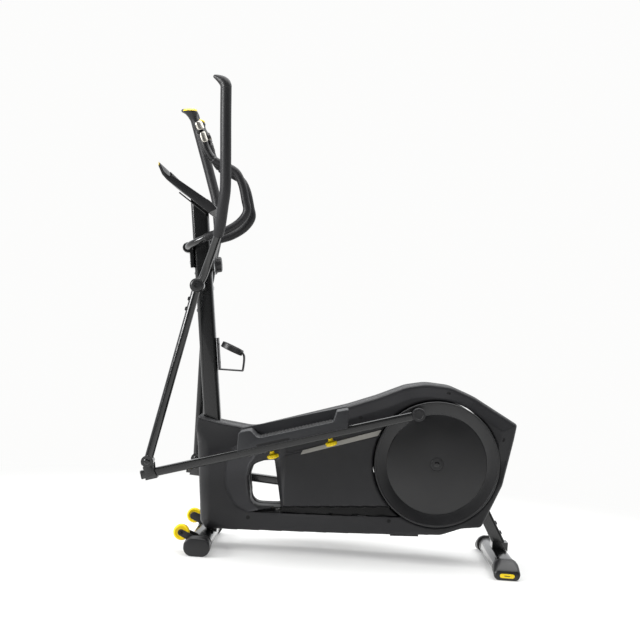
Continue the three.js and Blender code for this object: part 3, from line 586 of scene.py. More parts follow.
# %% The casing's outlines
CRANK = (joints["crank_spin"]["pos_m"][0], joints["crank_spin"]["pos_m"][2])
DISC_OPENING = 0.2235
CASING_HALF = -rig.box("casing_left")[0][1]
MIDDLE_GAP = 0.0002

casing_outline = rounded([
    (-0.425, 0.062, 0.012), (0.225, 0.091, 0.06), (0.409, 0.101, 0.06), (0.483, 0.129, 0.03),
    (0.551, 0.138, 0.016), (0.575, 0.192, 0.02), (0.616, 0.291, 0.06), (0.646, 0.455, 0.02),
    (0.654, 0.510, 0.014), (0.494, 0.5985, 0.12), (0.412, 0.629, 0.12), (0.324, 0.635, 0.16),
    (0.2525, 0.620, 0.12), (0.151, 0.5745, 0.12), (0.050, 0.536, 0.12), (-0.280, 0.433, 0.12),
    (-0.397, 0.447, 0.06), (-0.478, 0.464, 0.006), (-0.480, 0.414, 0.02), (-0.464, 0.272, 0.06),
    (-0.446, 0.0885, 0.02)], 10)
window_outline = rounded([
    (-0.272, 0.159, 0.042), (-0.161, 0.162, 0.004), (-0.177, 0.240, 0.02), (-0.195, 0.327, 0.004),
    (-0.232, 0.322, 0.03), (-0.270, 0.306, 0.04), (-0.283, 0.258, 0.04), (-0.274, 0.205, 0.04)], 10)
panel_outline = rounded([
    (-0.151, 0.150, 0.004), (0.262, 0.170, 0.01), (0.40, 0.30, 0.01), (0.40, 0.50, 0.01), (0.20, 0.452, 0.02),
    (-0.160, 0.352, 0.03), (-0.188, 0.328, 0.012), (-0.169, 0.240, 0.03)], 8)
crescent_outline = rounded([
    (-0.2765, 0.1375, 0.003), (-0.325, 0.158, 0.05), (-0.362, 0.215, 0.08), (-0.368, 0.300, 0.06),
    (-0.345, 0.372, 0.05), (-0.275, 0.378, 0.03), (-0.262, 0.335, 0.03), (-0.284, 0.308, 0.03),
    (-0.2905, 0.258, 0.04), (-0.281, 0.200, 0.04), (-0.252, 0.154, 0.03), (-0.235, 0.149, 0.003)], 8)
groove_outline = rounded([
    (-0.276, 0.1365, 0.001), (0.262, 0.157, 0.004), (0.262, 0.196, 0.004), (-0.150, 0.167, 0.01),
    (-0.232, 0.1485, 0.003)], 8)


def distance(points, outline):
    """Signed distance in metres from each (x, z) point to a closed outline, positive inside:
    the least distance to any edge, and inside where the edges wind round the point."""
    a = outline[None]
    b = np.roll(outline, -1, 0)[None]
    p = points[:, None]
    edge = b - a
    share = np.clip(((p - a) * edge).sum(-1) / (edge**2).sum(-1), 0, 1)
    least = np.linalg.norm(p - a - share[..., None] * edge, axis=-1).min(1)
    crosses = (a[..., 1] > p[..., 1]) != (b[..., 1] > p[..., 1])
    rise = np.where(edge[..., 1] == 0, 1e-12, edge[..., 1])
    reach = a[..., 0] + (p[..., 1] - a[..., 1]) / rise * edge[..., 0]
    inside = (crosses & (p[..., 0] < reach)).sum(1) % 2 == 1
    return np.where(inside, least, -least)


def ramp(value, start, end):
    """A smooth step from 0 at start to 1 at end."""
    t = np.clip((value - start) / (end - start), 0, 1)
    return t * t * (3 - 2 * t)


# %% [markdown]
# A regular grid would cut a curved edge into steps. The helper below first moves the grid's points
# onto the outlines, then keeps the quads inside, lifts them by the height, and drops a wall from
# every open edge. A Solidify modifier gives the shell its real thickness.

# %% The relief grid
def move_onto(grid, outline, which):
    """Moves the chosen points onto an outline, down the slope of its distance."""
    step = 1e-5
    close = grid[which]
    slope = np.stack([outline(close + [step, 0]) - outline(close - [step, 0]),
                      outline(close + [0, step]) - outline(close - [0, step])], -1)
    slope /= np.maximum(np.linalg.norm(slope, axis=1), 1e-9)[:, None]
    grid[which] = close - slope * outline(close)[:, None]


def relief(name, inside, height, low, high, pitch, snaps, rims, material, thickness=0.003, contours=(),
           inlays=()):
    """One side's shell as a height over (x, z). The grid keeps the quads that lie inside. Points
    within about half a cell of an edge are moved onto it, and so are outermost points within
    0.95 of one. rims says for each edge how far from the middle plane its wall ends."""
    xs = np.arange(low[0], high[0] + pitch, pitch)
    zs = np.arange(low[1], high[1] + pitch, pitch)
    grid = np.stack(np.meshgrid(xs, zs, indexing="ij"), -1).reshape(-1, 2)
    for outline in (*contours, *snaps):
        move_onto(grid, outline, np.abs(outline(grid)) < 0.505 * pitch)
    kept = inside(grid) > -pitch * 0.08
    index = np.arange(len(grid)).reshape(len(xs), len(zs))
    quads = np.stack([index[:-1, :-1], index[1:, :-1], index[1:, 1:], index[:-1, 1:]], -1).reshape(-1, 4)
    middles = grid[quads].mean(1)
    quads = quads[kept[quads].all(1) & (inside(middles) > 0)]
    used = np.unique(quads)
    renumber = np.full(len(grid), -1)
    renumber[used] = np.arange(len(used))
    quads, flat = renumber[quads], grid[used]
    edges = np.concatenate([quads[:, [i, (i + 1) % 4]] for i in range(4)])
    key = np.sort(edges, axis=1)
    _, first, counts = np.unique(key, axis=0, return_index=True, return_counts=True)
    border = edges[first[counts == 1]]
    outermost = np.isin(np.arange(len(flat)), border)
    for outline in snaps:
        move_onto(flat, outline, outermost & (np.abs(outline(flat)) < 0.95 * pitch))
    front = np.stack([flat[:, 0], -height(flat), flat[:, 1]], -1)
    points, faces = [front], quads.tolist()
    total = len(front)
    for outline, depth in zip(snaps, rims):
        on_it = np.abs(outline(flat)) < 0.5 * pitch
        chain = border[on_it[border].all(1)]
        ring = np.unique(chain)
        slot_of = np.full(len(front), -1)
        slot_of[ring] = np.arange(len(ring)) + total
        wall = front[ring].copy()
        wall[:, 1] = -depth
        points.append(wall)
        total += len(ring)
        faces += np.stack([chain[:, 1], chain[:, 0], slot_of[chain[:, 0]], slot_of[chain[:, 1]]], -1).tolist()
    piece = build(name, np.vstack(points), faces, material, 50)
    mesh = piece.data
    centres = np.zeros(3 * len(mesh.polygons))
    mesh.polygons.foreach_get("center", centres)
    centres = centres.reshape(-1, 3)
    which = np.zeros(len(mesh.polygons), int)
    near_middle = 0.05
    for number, (outline, other) in enumerate(inlays, 1):
        mesh.materials.append(other)
        which[(outline(centres[:, ::2]) > 0) & (centres[:, 1] < -near_middle)] = number
    mesh.polygons.foreach_set("material_index", which)
    if thickness:
        wall = piece.modifiers.new("wall", "SOLIDIFY")
        wall.thickness = thickness
        wall.offset = -1
    return piece


def casing_edge(points):
    """Distance in from the casing's outline."""
    return distance(points, casing_outline)


def window_edge(points):
    """Distance out from the window's outline."""
    return -distance(points, window_outline)


def disc_edge(points):
    """Distance out from the round opening for the crank disc."""
    return np.hypot(points[:, 0] - CRANK[0], points[:, 1] - CRANK[1]) - DISC_OPENING


CROWN, FRONT_CROWN = 0.010, 0.044
SIDE_HALF = CASING_HALF - 0.006
FRONT_NARROWING = 0.020
SHOULDER_DROP = 0.014
PANEL_RISE = 0.006
CRESCENT_SINK = 0.003
GROOVE_SINK = 0.007
WINDOW_SINK = 0.005
DISC_SINK = 0.003


def casing_height(points):
    """How far out the side lies: the flat side, less a rounded crown at its edge, less a shoulder
    that slopes away over the top 48 mm, plus the raised panel, less the sunk parts and rims. In
    front of the panel the side is narrower, and there the crown grows towards the front edge."""
    edge = casing_edge(points)
    over = ramp(points[:, 1], 0.135, 0.165)
    front = (1 - ramp(points[:, 0], -0.185, -0.150)) * over + (1 - ramp(points[:, 0], -0.42,
                                                                        0.10)) * (1 - over)
    front *= 1 - ramp(points[:, 1], 0.40, 0.55)
    at_front = (1 - ramp(points[:, 0], -0.43, -0.33)) * (1 - ramp(points[:, 1], 0.36, 0.43))
    deep = CROWN + (FRONT_CROWN - CROWN) * at_front
    crown = np.sqrt(np.clip(1 - (1 - np.clip(edge / deep, 0, 1))**2, 0, 1))
    upper = np.clip((points[:, 1] - 0.30) / 0.08, 0, 1) * np.clip((points[:, 0] + 0.30) / 0.25, 0, 1)
    shoulder = 1 - np.clip((edge - 0.012) / 0.036, 0, 1)
    sides = SIDE_HALF - FRONT_NARROWING * front
    panel = PANEL_RISE * ramp(distance(points, panel_outline), -0.001, 0.004)
    crescent = -CRESCENT_SINK * ramp(distance(points, crescent_outline), -0.001, 0.003)
    groove_depth = distance(points, groove_outline)
    panel *= 1 - ramp(groove_depth, -0.003, 0.0)
    groove = -GROOVE_SINK * ramp(groove_depth, -0.0005, 0.003)
    window_rim = -WINDOW_SINK * (1 - ramp(window_edge(points), 0.0, 0.006))
    disc_rim = -DISC_SINK * (1 - ramp(disc_edge(points), 0.0, 0.005))
    full = sides - SHOULDER_DROP * shoulder * upper
    low = 0.070 - 0.035 * front * (1 - ramp(points[:, 1], 0.36, 0.43))
    trims = panel + crescent + groove + window_rim + disc_rim
    return low + (full - low) * crown + trims * ramp(edge, 0.0, 0.02)


def casing_inside(points):
    """Distance in from the nearest of the casing's edges."""
    return np.minimum.reduce([casing_edge(points), window_edge(points), disc_edge(points)])


CASING_PITCH = 0.0035
DISC_WALL_END = 0.080
casing_left = relief("casing_shell_left", casing_inside, casing_height, (-0.48, 0.055), (0.66, 0.64),
                     CASING_PITCH, (casing_edge, window_edge, disc_edge),
                     (MIDDLE_GAP, MIDDLE_GAP, DISC_WALL_END), casing_abs,
                     contours=(lambda p: distance(p, panel_outline), lambda p: distance(p, crescent_outline),
                               lambda p: distance(p, groove_outline)),
                     inlays=((lambda p: distance(p, crescent_outline), crescent_abs),
                             (lambda p: distance(p, groove_outline), groove_abs)))
print("casing side:", len(casing_left.data.polygons), "faces")


# %% [markdown]
# The machine is nearly the same on both sides, so each left piece is made once. A negative scale
# would turn its faces inside out; here the mesh is mirrored and its faces are turned back.

# %% Copies for the other side
def mirror_piece(piece, name):
    """A copy on the other side of the middle plane, with its faces turned to point out again."""
    mesh = piece.data.copy()
    mesh.transform(Matrix.Scale(-1, 4, (0, 1, 0)))
    mesh.flip_normals()
    copy = bpy.data.objects.new(name, mesh)
    bpy.context.scene.collection.objects.link(copy)
    for modifier in piece.modifiers:
        twin = copy.modifiers.new(modifier.name, modifier.type)
        if modifier.type == "SOLIDIFY":
            twin.thickness, twin.offset = modifier.thickness, modifier.offset
    return copy


def pair(left, body, slot, *nodes, left_move=None, right_move=None):
    """Places a left piece and its mirror copy: {side} in a body or node name is filled in, and
    each side may have its own move, made after the mirroring."""
    right = mirror_piece(left, left.name.replace("_left", "_right"))
    for (side, _), piece, move in zip(SIDES, (left, right), (left_move, right_move)):
        if move:
            piece.data.transform(move)
        place(piece, body.format(side=side), slot, *[node.format(side=side) for node in nodes])
    return left, right


pair(casing_left, "root", "casing_plastic", "casing_{side}")

# %% [markdown]
# The two shells are held by screws sunk under soft covers, and a printed silver line runs
# along each side. A fastener is a turned profile, so one function serves every size.

# %% Screws, decal and belly screw
def bolt(name, spot, axis, radius, height, material, count=28):
    """A domed fastener head: a short straight rim, then a quarter ellipse to the middle with a
    shallow socket in it. The spot is on the surface and the axis points outward."""
    bend = np.linspace(0, math.pi / 2, 7)
    dome = np.stack([radius * (0.42 + 0.58 * np.cos(bend)), height * (0.35 + 0.65 * np.sin(bend))], -1)
    socket = [(0.36 * radius, height), (0.33 * radius, 0.45 * height), (0, 0.45 * height)]
    profile = [(0, -0.4 * height), (radius, -0.4 * height), *dome.tolist(), *socket]
    return turned(name, profile, spot, axis, material, count)


for number, (x, z) in enumerate([(0.402, 0.604), (0.605, 0.455), (0.098, 0.499), (-0.275, 0.118),
                                 (0.222, 0.142)]):
    side_y = float(casing_height(np.array([[x, z]]))[0])
    pair(bolt(f"casing_screw_{number}_left", (x, -side_y + 0.0004, z), (0, -1, 0), 0.0072, 0.0014,
              soft_rubber),
         "root", "casing_plastic")
place(bolt("belly_screw", (0.282, 0, 0.0862), (0.048, 0, -1), 0.006, 0.002, black_oxide), "root",
      "casing_plastic")

decal_outline = rounded([(-0.104, 0.354, 0.001), (-0.0973, 0.370, 0.001), (0.1747, 0.4614, 0.001),
                         (0.162, 0.4387, 0.001)], 3)
decal = prism("casing_decal_left", decal_outline, -CASING_HALF - 0.0003, -CASING_HALF + 0.001, decal_film,
              0.0002)
pair(decal, "root", "casing_plastic")
print("decal, screws: on both sides, with one screw below")

# %% [markdown]
# ## Crank discs
# Two moulded dishes that hide the cranks. A disc is turned from one profile: a flat middle, a
# hub cap, a conical ring that rises to the outside, and a thin proud lip. The ring is what
# catches the overhead light, so its slope matters more than its outline.

# %% Turn the discs
disc_profile = np.array([
    (0, 0.0975), (0.2185, 0.0975), (0.220, 0.099), (0.220, 0.1225), (0.2188, 0.124), (0.2145, 0.124),
    (0.213, 0.1232), (0.2125, 0.1215), (0.196, 0.1185), (0.1795, 0.1135), (0.1765, 0.112), (0.1745, 0.1135),
    (0.173, 0.114), (0.0240, 0.1138), (0.0232, 0.1128), (0.0205, 0.1128), (0.0200, 0.1150),
    (0.0185, 0.1158), (0.012, 0.116), (0, 0.116)])
disc = turned("crank_dish_left", disc_profile, (CRANK[0], 0, CRANK[1]), (0, -1, 0), satin_abs, 160, sharp=24)
pair(disc, "crank", "casing_plastic", "crank_disc_{side}")
hub = bolt("crank_hub_cap_left", (CRANK[0], -0.1158, CRANK[1]), (0, -1, 0), 0.0095, 0.0022, gloss_abs)
pair(hub, "crank", "casing_plastic")
print("crank discs:", len(disc.data.polygons), "faces each")

# %% [markdown]
# ## Mast, feet and wheels
# Steel tube with rounded corners is a section carried along a line. The feet are oval tubes
# with moulded caps pushed over their ends; the front ones carry the transport wheels.

# %% Mast with its bolts
MAST_LEAN = math.radians(7.5)
MAST_UP = np.array([-math.sin(MAST_LEAN), 0, math.cos(MAST_LEAN)])
MAST_REAR = np.array([math.cos(MAST_LEAN), 0, math.sin(MAST_LEAN)])
MAST_HALF = 0.030


def on_mast(z, rearward=0.0, y=0.0):
    """A point at a height on the mast's middle line, moved at right angles to it."""
    foot = np.array([-0.3888, 0, 0.136])
    return foot + MAST_UP * (z - foot[2]) / MAST_UP[2] + MAST_REAR * rearward + [0, y, 0]


mast_path = np.linspace(on_mast(0.137), on_mast(1.200), 24)
mast = sweep("mast_tube", mast_path, rounded_box(0.050, 0.060, 0.013), powder_coat)
under_console, console_normal = np.array([-0.480, 0, 1.180]), np.array([0.565, 0, 0.825])
corners = np.zeros(3 * len(mast.data.vertices))
mast.data.vertices.foreach_get("co", corners)
corners = corners.reshape(-1, 3)
top = (corners - mast_path[0]) @ MAST_UP > (mast_path[-1] - mast_path[0]) @ MAST_UP - 1e-4
reach = (under_console - corners[top]) @ console_normal / (MAST_UP @ console_normal)
corners[top] += reach[:, None] * MAST_UP
mast.data.vertices.foreach_set("co", corners.ravel())
place(mast, "root", "gloss_black_steel", "mast")
for number, (z, radius) in enumerate([(1.060, 0.0085), (1.012, 0.0085), (0.972, 0.005), (0.885, 0.006),
                                      (0.84, 0.006)]):
    place(bolt(f"mast_bolt_{number}", on_mast(z, -MAST_HALF - (0.013 if number < 2 else 0)), -MAST_REAR,
               radius, radius * 0.6, zinc if number < 2 else black_oxide), "root", "zinc_steel")
for number, z in enumerate((0.905, 0.935)):
    pair(bolt(f"axle_collar_bolt_{number}_left", on_mast(z, 0.014, -0.025), (0, -1, 0), 0.005, 0.003,
              black_oxide), "root", "zinc_steel")


# %% [markdown]
# The front foot's caps are plain oval sleeves with three ribs. The rear ones slope down to a thin
# end, so they are made from rings that change in height, with a yellow insert in the end face.

# %% The feet
def oval(centre, width, height, radius, count=12):
    """A rounded rectangle in side view about a centre."""
    return rounded_box(width, height, radius, count) + np.asarray(centre, float)


# The rear caps slope down to a low end face: distance in from the end, width, height, lowest level.
wedge = np.array([(0.0015, 0.076, 0.0260, 0.0020), (0.0025, 0.082, 0.0300, 0.0008),
                  (0.0055, 0.087, 0.0345, 0.0), (0.0100, 0.090, 0.0385, 0.0), (0.0250, 0.090, 0.0495, 0.0),
                  (0.0420, 0.090, 0.0590, 0.0), (0.0550, 0.090, 0.0625, 0.0), (0.0695, 0.090, 0.0630, 0.0),
                  (0.0700, 0.087, 0.0600, 0.0015)])
for end, (x, half) in {"front": (-0.431, 0.270), "rear": (0.622, 0.310)}.items():
    inset = 0.008 if end == "front" else 0.060
    tube = prism(f"{end}_foot_tube", oval((x, 0.032), 0.080, 0.054, 0.026), -half + inset, half - inset,
                 powder_coat, 0.001)
    place(tube, "root", "gloss_black_steel", f"{end}_stabilizer")
    reach = 0.060 if end == "front" else 0.070
    if end == "front":
        cap = prism("front_foot_cap_left", oval((x, 0.0315), 0.090, 0.063, 0.0285), -half + 0.0015,
                    -half + reach, satin_abs, 0.006)
    else:
        rings = [oval((x, low + tall / 2), wide, tall, tall / 2 - 0.0005) for wide, tall, low in wedge[:, 1:]]
        rows = [np.stack([ring[:, 0], np.full(len(ring), -half + y), ring[:, 1]], -1)
                for ring, y in zip(rings, wedge[:, 0])]
        cap = skin("rear_foot_cap_left", np.array(rows), satin_abs, 40)
    pair(cap, "root", "casing_plastic", f"{end}_end_cap_{{side}}")
    for number in range(3 if end == "front" else 1):
        start = -half + reach + 0.002 + 0.011 * number
        ring = prism(f"{end}_foot_ring_{number}_left", oval((x, 0.0315), 0.086, 0.059, 0.027), start,
                     start + 0.007, soft_rubber, 0.0022)
        pair(ring, "root", "casing_plastic")
insert = prism("rear_cap_insert_left", oval((0.622, 0.0155), 0.050, 0.014, 0.0069), -0.310, -0.300,
               yellow_nylon, 0.001)
pair(insert, "root", "yellow_plastic")
# The insert's slot is not cut: a thin dark strip on its face is painted shade for the hollow of the slot.
insert_slot_shade = prism("rear_cap_insert_slot_left", oval((0.622, 0.0155), 0.020, 0.0026, 0.0012), -0.3101, -0.309,
              satin_abs, 0.0002)
pair(insert_slot_shade, "root", "casing_plastic")
print("feet: two tubes, four caps")

# %% [markdown]
# A transport wheel is a tyre and a hub, moulded in one colour, between two straps. The wheels only
# touch the ground when the front is tipped, so they hang in front of the foot.

# %% Transport wheels and their arms
WHEEL = (-0.492, 0.070)
tyre_profile = [(0.0165, -0.0085), (0.0215, -0.011), (0.0245, -0.0105), (0.0272, -0.008), (0.028, -0.004),
                (0.028, 0.004), (0.0272, 0.008), (0.0245, 0.0105), (0.0215, 0.011), (0.0165, 0.0085),
                (0.0165, -0.0085)]
tyre = turned("wheel_tyre_left", tyre_profile, (WHEEL[0], -0.200, WHEEL[1]), (0, -1, 0), yellow_nylon, 56)
pair(tyre, "{side}_wheel", "yellow_plastic", "transport_wheel_{side}")
hub_profile = [(0.0054, -0.0075), (0.0162, -0.0075), (0.0164, 0.0075), (0.009, 0.0068), (0.0085, 0.0095),
               (0.0054, 0.010), (0.0054, -0.0075)]
wheel_hub = turned("wheel_hub_left", hub_profile, (WHEEL[0], -0.200, WHEEL[1]), (0, -1, 0), yellow_nylon, 40)
pair(wheel_hub, "{side}_wheel", "yellow_plastic")


def hull_of_circles(first, second):
    """The outline round two circles (x, z, radius), as a strap of sheet metal would be cut."""
    (xa, za, ra), (xb, zb, rb) = first, second
    line = math.atan2(zb - za, xb - xa)
    lean = math.acos((ra - rb) / math.hypot(xb - xa, zb - za))
    near = np.linspace(line + lean, line + 2 * math.pi - lean, 28)
    away = np.linspace(line - lean, line + lean, 28)
    return np.vstack([np.stack([xa + ra * np.cos(near), za + ra * np.sin(near)], -1),
                      np.stack([xb + rb * np.cos(away), zb + rb * np.sin(away)], -1)])


strap = prism("wheel_arm_left", hull_of_circles((-0.446, 0.052, 0.016), (*WHEEL, 0.0145)), -0.187, -0.179,
              satin_abs, 0.0015)
pair(strap, "root", "casing_plastic", "wheel_bracket_{side}")
outer_strap = prism("wheel_arm_outer_left", hull_of_circles((-0.450, 0.051, 0.012), (*WHEEL, 0.0115)),
                    -0.217, -0.2125, satin_abs, 0.0012)
pair(outer_strap, "root", "casing_plastic")
pair(bolt("wheel_pin_left", (WHEEL[0], -0.217, WHEEL[1]), (0, -1, 0), 0.0065, 0.003, black_oxide), "root",
     "zinc_steel")
print("wheels at", WHEEL)

# %% Bolts of the rear leg
leg_line = np.array([0.627 - 0.553, 0, 0.076 - 0.205])
leg_line /= np.linalg.norm(leg_line)
leg_rear = np.array([-leg_line[2], 0, leg_line[0]])
for number, share in enumerate((0.52, 0.78)):
    spot = np.array([0.553, 0, 0.205]) + leg_line * 0.149 * share + leg_rear * 0.0212
    place(bolt(f"rear_leg_bolt_{number}", spot, leg_rear, 0.008, 0.005, black_oxide), "root", "zinc_steel")

# %% [markdown]
# ## Arms
# Each swing arm is one bent tube with a foam sleeve, on a pivot boss, with a straight link down
# to the rod. The bend is a smooth curve through a few measured points, with the sleeve's radius
# easing to a blunt tip. The right arm is the left one mirrored and turned about the pivot, to
# where the linkage puts it; its handle leans a little further forward than that.

# %% Swing arms
ARM_PIVOT = np.array(joints["left_arm_swing"]["pos_m"]) * [1, 0, 1]
ARM_Y = 0.165


def arm_turn(degrees):
    """A turn about the arm pivot's line along Y."""
    there = Matrix.Translation(Vector(ARM_PIVOT))
    return there @ Matrix.Rotation(math.radians(degrees), 4, "Y") @ there.inverted()


RIGHT_TURN = arm_turn(-12.4)
RIGHT_HANDLE_TURN = arm_turn(-15.4)
HANDLE_Y = 0.330
handle = curve_through([
    (-0.5007, -0.165, 0.9213), (-0.4857, -0.1708, 0.9439), (-0.4679, -0.1864, 0.9956),
    (-0.4481, -0.2232, 1.0505), (-0.4270, -0.2698, 1.1174), (-0.4178, -0.2989, 1.1932),
    (-0.4132, -0.3125, 1.2418), (-0.4176, -0.3242, 1.3415), (-0.4261, -HANDLE_Y, 1.4747),
    (-0.4328, -HANDLE_Y, 1.5850)], 220)
GRIP_FROM = 64
pair(sweep("handle_tube_left", handle[6:GRIP_FROM + 12], circle(0.014), powder_coat), "{side}_arm",
     "gloss_black_steel", "swing_handle_{side}", right_move=RIGHT_HANDLE_TURN)


def end_ease(line, ease, least):
    """Scales for a sleeve on a tube: its two ends are drawn in like a rolled cut edge."""
    travel = np.concatenate([[0], np.cumsum(np.linalg.norm(np.diff(line, axis=0), axis=1))])
    near_end = np.minimum(travel, travel[-1] - travel) + 0.1 * ease
    return np.sqrt(np.clip(1 - (1 - np.clip(near_end / ease, 0, 1))**2, least, 1))


grip_line = resample(handle[GRIP_FROM:], 240)
pair(sweep("handle_grip_left", grip_line, circle(0.0188, 44), foam_rubber,
           scale=end_ease(grip_line, 0.003, 0.7)),
     "{side}_arm", "grip_foam", "swing_grip_{side}", right_move=RIGHT_HANDLE_TURN)
tip_line = curve_through([(-0.4325, -HANDLE_Y, 1.580), (-0.4335, -HANDLE_Y, 1.590),
                          (-0.4390, -HANDLE_Y, 1.600), (-0.4520, -HANDLE_Y, 1.6095),
                          (-0.4660, -HANDLE_Y, 1.6160), (-0.4780, -HANDLE_Y, 1.6200)], 50)
tip_share = np.linspace(0, 1, 50)
tip_radius = np.interp(tip_share, [0, 0.06, 0.3, 0.5, 0.72, 0.88, 0.96, 1],
                       [17.6, 19.0, 18.6, 16.2, 11.4, 7.6, 5.4, 1.0])
pair(sweep("handle_tip_left", tip_line, circle(MM, 44), satin_abs, scale=tip_radius, sharp=60), "{side}_arm",
     "knob_plastic", right_move=RIGHT_HANDLE_TURN)
left_joint = np.array(joints["left_rod_pivot"]["pos_m"]) * [1, 0, 1]
link_line = np.linspace(ARM_PIVOT + [0, -ARM_Y, 0], left_joint + [0, -ARM_Y, 0], 30)
link = sweep("link_tube_left", link_line, circle(0.015, 36), powder_coat)
pair(link, "{side}_arm", "gloss_black_steel", "arm_link_{side}", right_move=RIGHT_TURN)


def bush(name, spot, radius, half, bore, material, lip=0.002):
    """A short sleeve along Y with softened rims, open through the middle."""
    y = half
    profile = [(bore, -y), (radius - lip, -y), (radius, -y + lip), (radius, y - lip), (radius - lip, y),
               (bore, y), (bore, -y)]
    return turned(name, profile, spot, (0, 1, 0), material, 56)


pair(bush("pivot_boss_left", ARM_PIVOT + [0, -ARM_Y, 0], 0.025, 0.0185, 0.0102, powder_coat), "{side}_arm",
     "gloss_black_steel", right_move=RIGHT_TURN)
pair(bolt("pivot_cap_left", ARM_PIVOT + [0, -ARM_Y - 0.0185, 0], (0, -1, 0), 0.0215, 0.006, satin_abs, 48),
     "{side}_arm", "casing_plastic", right_move=RIGHT_TURN)
pair(bush("joint_bush_left", left_joint + [0, -ARM_Y, 0], 0.0215, 0.0168, 0.0102, powder_coat), "{side}_arm",
     "gloss_black_steel", right_move=RIGHT_TURN)
link_way = (left_joint - ARM_PIVOT) / np.linalg.norm(left_joint - ARM_PIVOT)
link_front = np.array([link_way[2], 0, -link_way[0]])
link_front = link_front * np.sign(-link_front[0])
for number, travel in enumerate((0.052, 0.088)):
    spot = ARM_PIVOT + [0, -ARM_Y, 0] + link_way * travel + link_front * 0.0148
    pair(bolt(f"link_bolt_{number}_left", spot, link_front, 0.0075, 0.005, black_oxide), "{side}_arm",
         "zinc_steel", right_move=RIGHT_TURN)
AXLE_HALF = 0.173
AXLE_RADIUS = 0.0095
axle_profile = [(0, -AXLE_HALF), (AXLE_RADIUS, -AXLE_HALF), (AXLE_RADIUS, AXLE_HALF), (0, AXLE_HALF)]
axle = turned("axle_bar", axle_profile, ARM_PIVOT, (0, 1, 0), powder_coat)
place(axle, "root", "gloss_black_steel", "arm_axle")
for side, sign in SIDES:
    sleeve = bush(f"axle_sleeve_{side}", ARM_PIVOT + [0, sign * 0.0862, 0], 0.0165, 0.0598, 0.0097,
                  powder_coat, 0.001)
    place(sleeve, "root", "gloss_black_steel", "arm_axle")

# %% [markdown]
# ## Rods and pedals
# A rod is square tube with an eye at the crank and a fork of two cheeks at the arm. Everything
# on it is made along +X from the joint and then turned into place, so the two sides share it.

# %% Where the rods lie
left_pin = np.array([0.297, 0.5266])
right_pin = 2 * np.array(CRANK) - left_pin
right_joint = np.array(joints["right_rod_pivot"]["pos_m"])
ROD_LENGTH = math.dist(left_joint[[0, 2]], left_pin)
ROD_FRONT = np.array([0.022, -0.0405])
TUBE_SLOPE = math.atan2(-ROD_FRONT[1], ROD_LENGTH - ROD_FRONT[0])


def rod_move(joint, pin):
    """The move that carries a part made along +X from the origin onto a rod."""
    slope = math.atan2(pin[1] - joint[2], pin[0] - joint[0])
    return Matrix.Translation((joint[0], 0, joint[2])) @ Matrix.Rotation(-slope, 4, "Y")


ROD_MOVES = {"left_move": rod_move(left_joint, left_pin), "right_move": rod_move(right_joint, right_pin)}
ON_TUBE = Matrix.Translation((ROD_FRONT[0], 0, ROD_FRONT[1])) @ Matrix.Rotation(-TUBE_SLOPE, 4, "Y")
TUBE_MOVES = {side: move @ ON_TUBE for side, move in ROD_MOVES.items()}
print("rods:", round(ROD_LENGTH, 4), "m from joint to crank pin")

# %% Rod tubes, eyes and forks
tube_length = math.hypot(ROD_LENGTH - ROD_FRONT[0], ROD_FRONT[1]) - 0.0238
ROD_LEAD = 0.053
rod_path = np.linspace((-ROD_LEAD + 0.003, -ARM_Y, 0), (tube_length, -ARM_Y, 0), 40)
pair(sweep("rod_bar_left", rod_path, rounded_box(0.030, 0.030, 0.0055), powder_coat, sharp=50), "{side}_rod",
     "gloss_black_steel", "rod_tube_{side}", **TUBE_MOVES)
plug_line = np.linspace((-ROD_LEAD, -ARM_Y, 0), (-ROD_LEAD + 0.006, -ARM_Y, 0), 5)
end_plug = sweep("rod_plug_left", plug_line, rounded_box(0.0302, 0.0302, 0.005), satin_abs, sharp=50,
                 scale=[0.93, 0.99, 1, 1, 1])
pair(end_plug, "{side}_rod", "casing_plastic", **TUBE_MOVES)
pin_spot = np.array([ROD_LENGTH, -ARM_Y, 0])
eye_profile = [(0, 0.0402), (0.014, 0.0402), (0.014, 0.0172), (0.0213, 0.0172), (0.0233, 0.0152),
               (0.0233, -0.0150), (0.0220, -0.0166), (0.0150, -0.0170), (0.0140, -0.0160),
               (0.0060, -0.0158), (0, -0.0158)]
pair(turned("rod_end_left", eye_profile, pin_spot, (0, 1, 0), satin_abs, 64), "{side}_rod", "casing_plastic",
     "rod_eye_{side}", **ROD_MOVES)
cheek_side = [(0.0214, -0.0052, 0.004), (0.0190, -0.0330, 0.02), (0.0245, -0.0500, 0.004),
              (0.0250, -0.0585, 0.003), (-0.0157, -0.0604, 0.003), (-0.0125, -0.0380, 0.01),
              (-0.0205, -0.0135, 0.010)]
bend = np.linspace(math.radians(205), math.radians(-8), 40)
cheek_outline = np.vstack([np.stack([0.0215 * np.cos(bend), 0.0215 * np.sin(bend)], -1),
                           rounded(cheek_side, 5)])
for number, sign in enumerate((1, -1)):
    middle = -ARM_Y + sign * 0.0205
    cheek = prism(f"fork_cheek_{number}_left", cheek_outline, middle - 0.003, middle + 0.003, powder_coat,
                  0.001)
    pair(cheek, "{side}_rod", "gloss_black_steel", "rod_fork_{side}", **ROD_MOVES)
    ring = bush(f"fork_washer_{number}_left", np.array([0, middle + sign * 0.0034, 0]), 0.0192, 0.0008,
                0.012, powder_coat, 0.0004)
    pair(ring, "{side}_rod", "zinc_steel", **ROD_MOVES)
    pair(bolt(f"fork_pin_{number}_left", (0, middle + sign * 0.003, 0), (0, sign, 0), 0.0118, 0.0040,
              powder_coat, 40),
         "{side}_rod", "zinc_steel", **ROD_MOVES)
strap_line = np.linspace((-0.0150, -ARM_Y, -0.0606), (0.0245, -ARM_Y, -0.0589), 3)
pair(sweep("fork_strap_left", strap_line, rounded_box(0.0465, 0.004, 0.0015), powder_coat, sharp=50),
     "{side}_rod", "gloss_black_steel", "rod_fork_{side}", **ROD_MOVES)
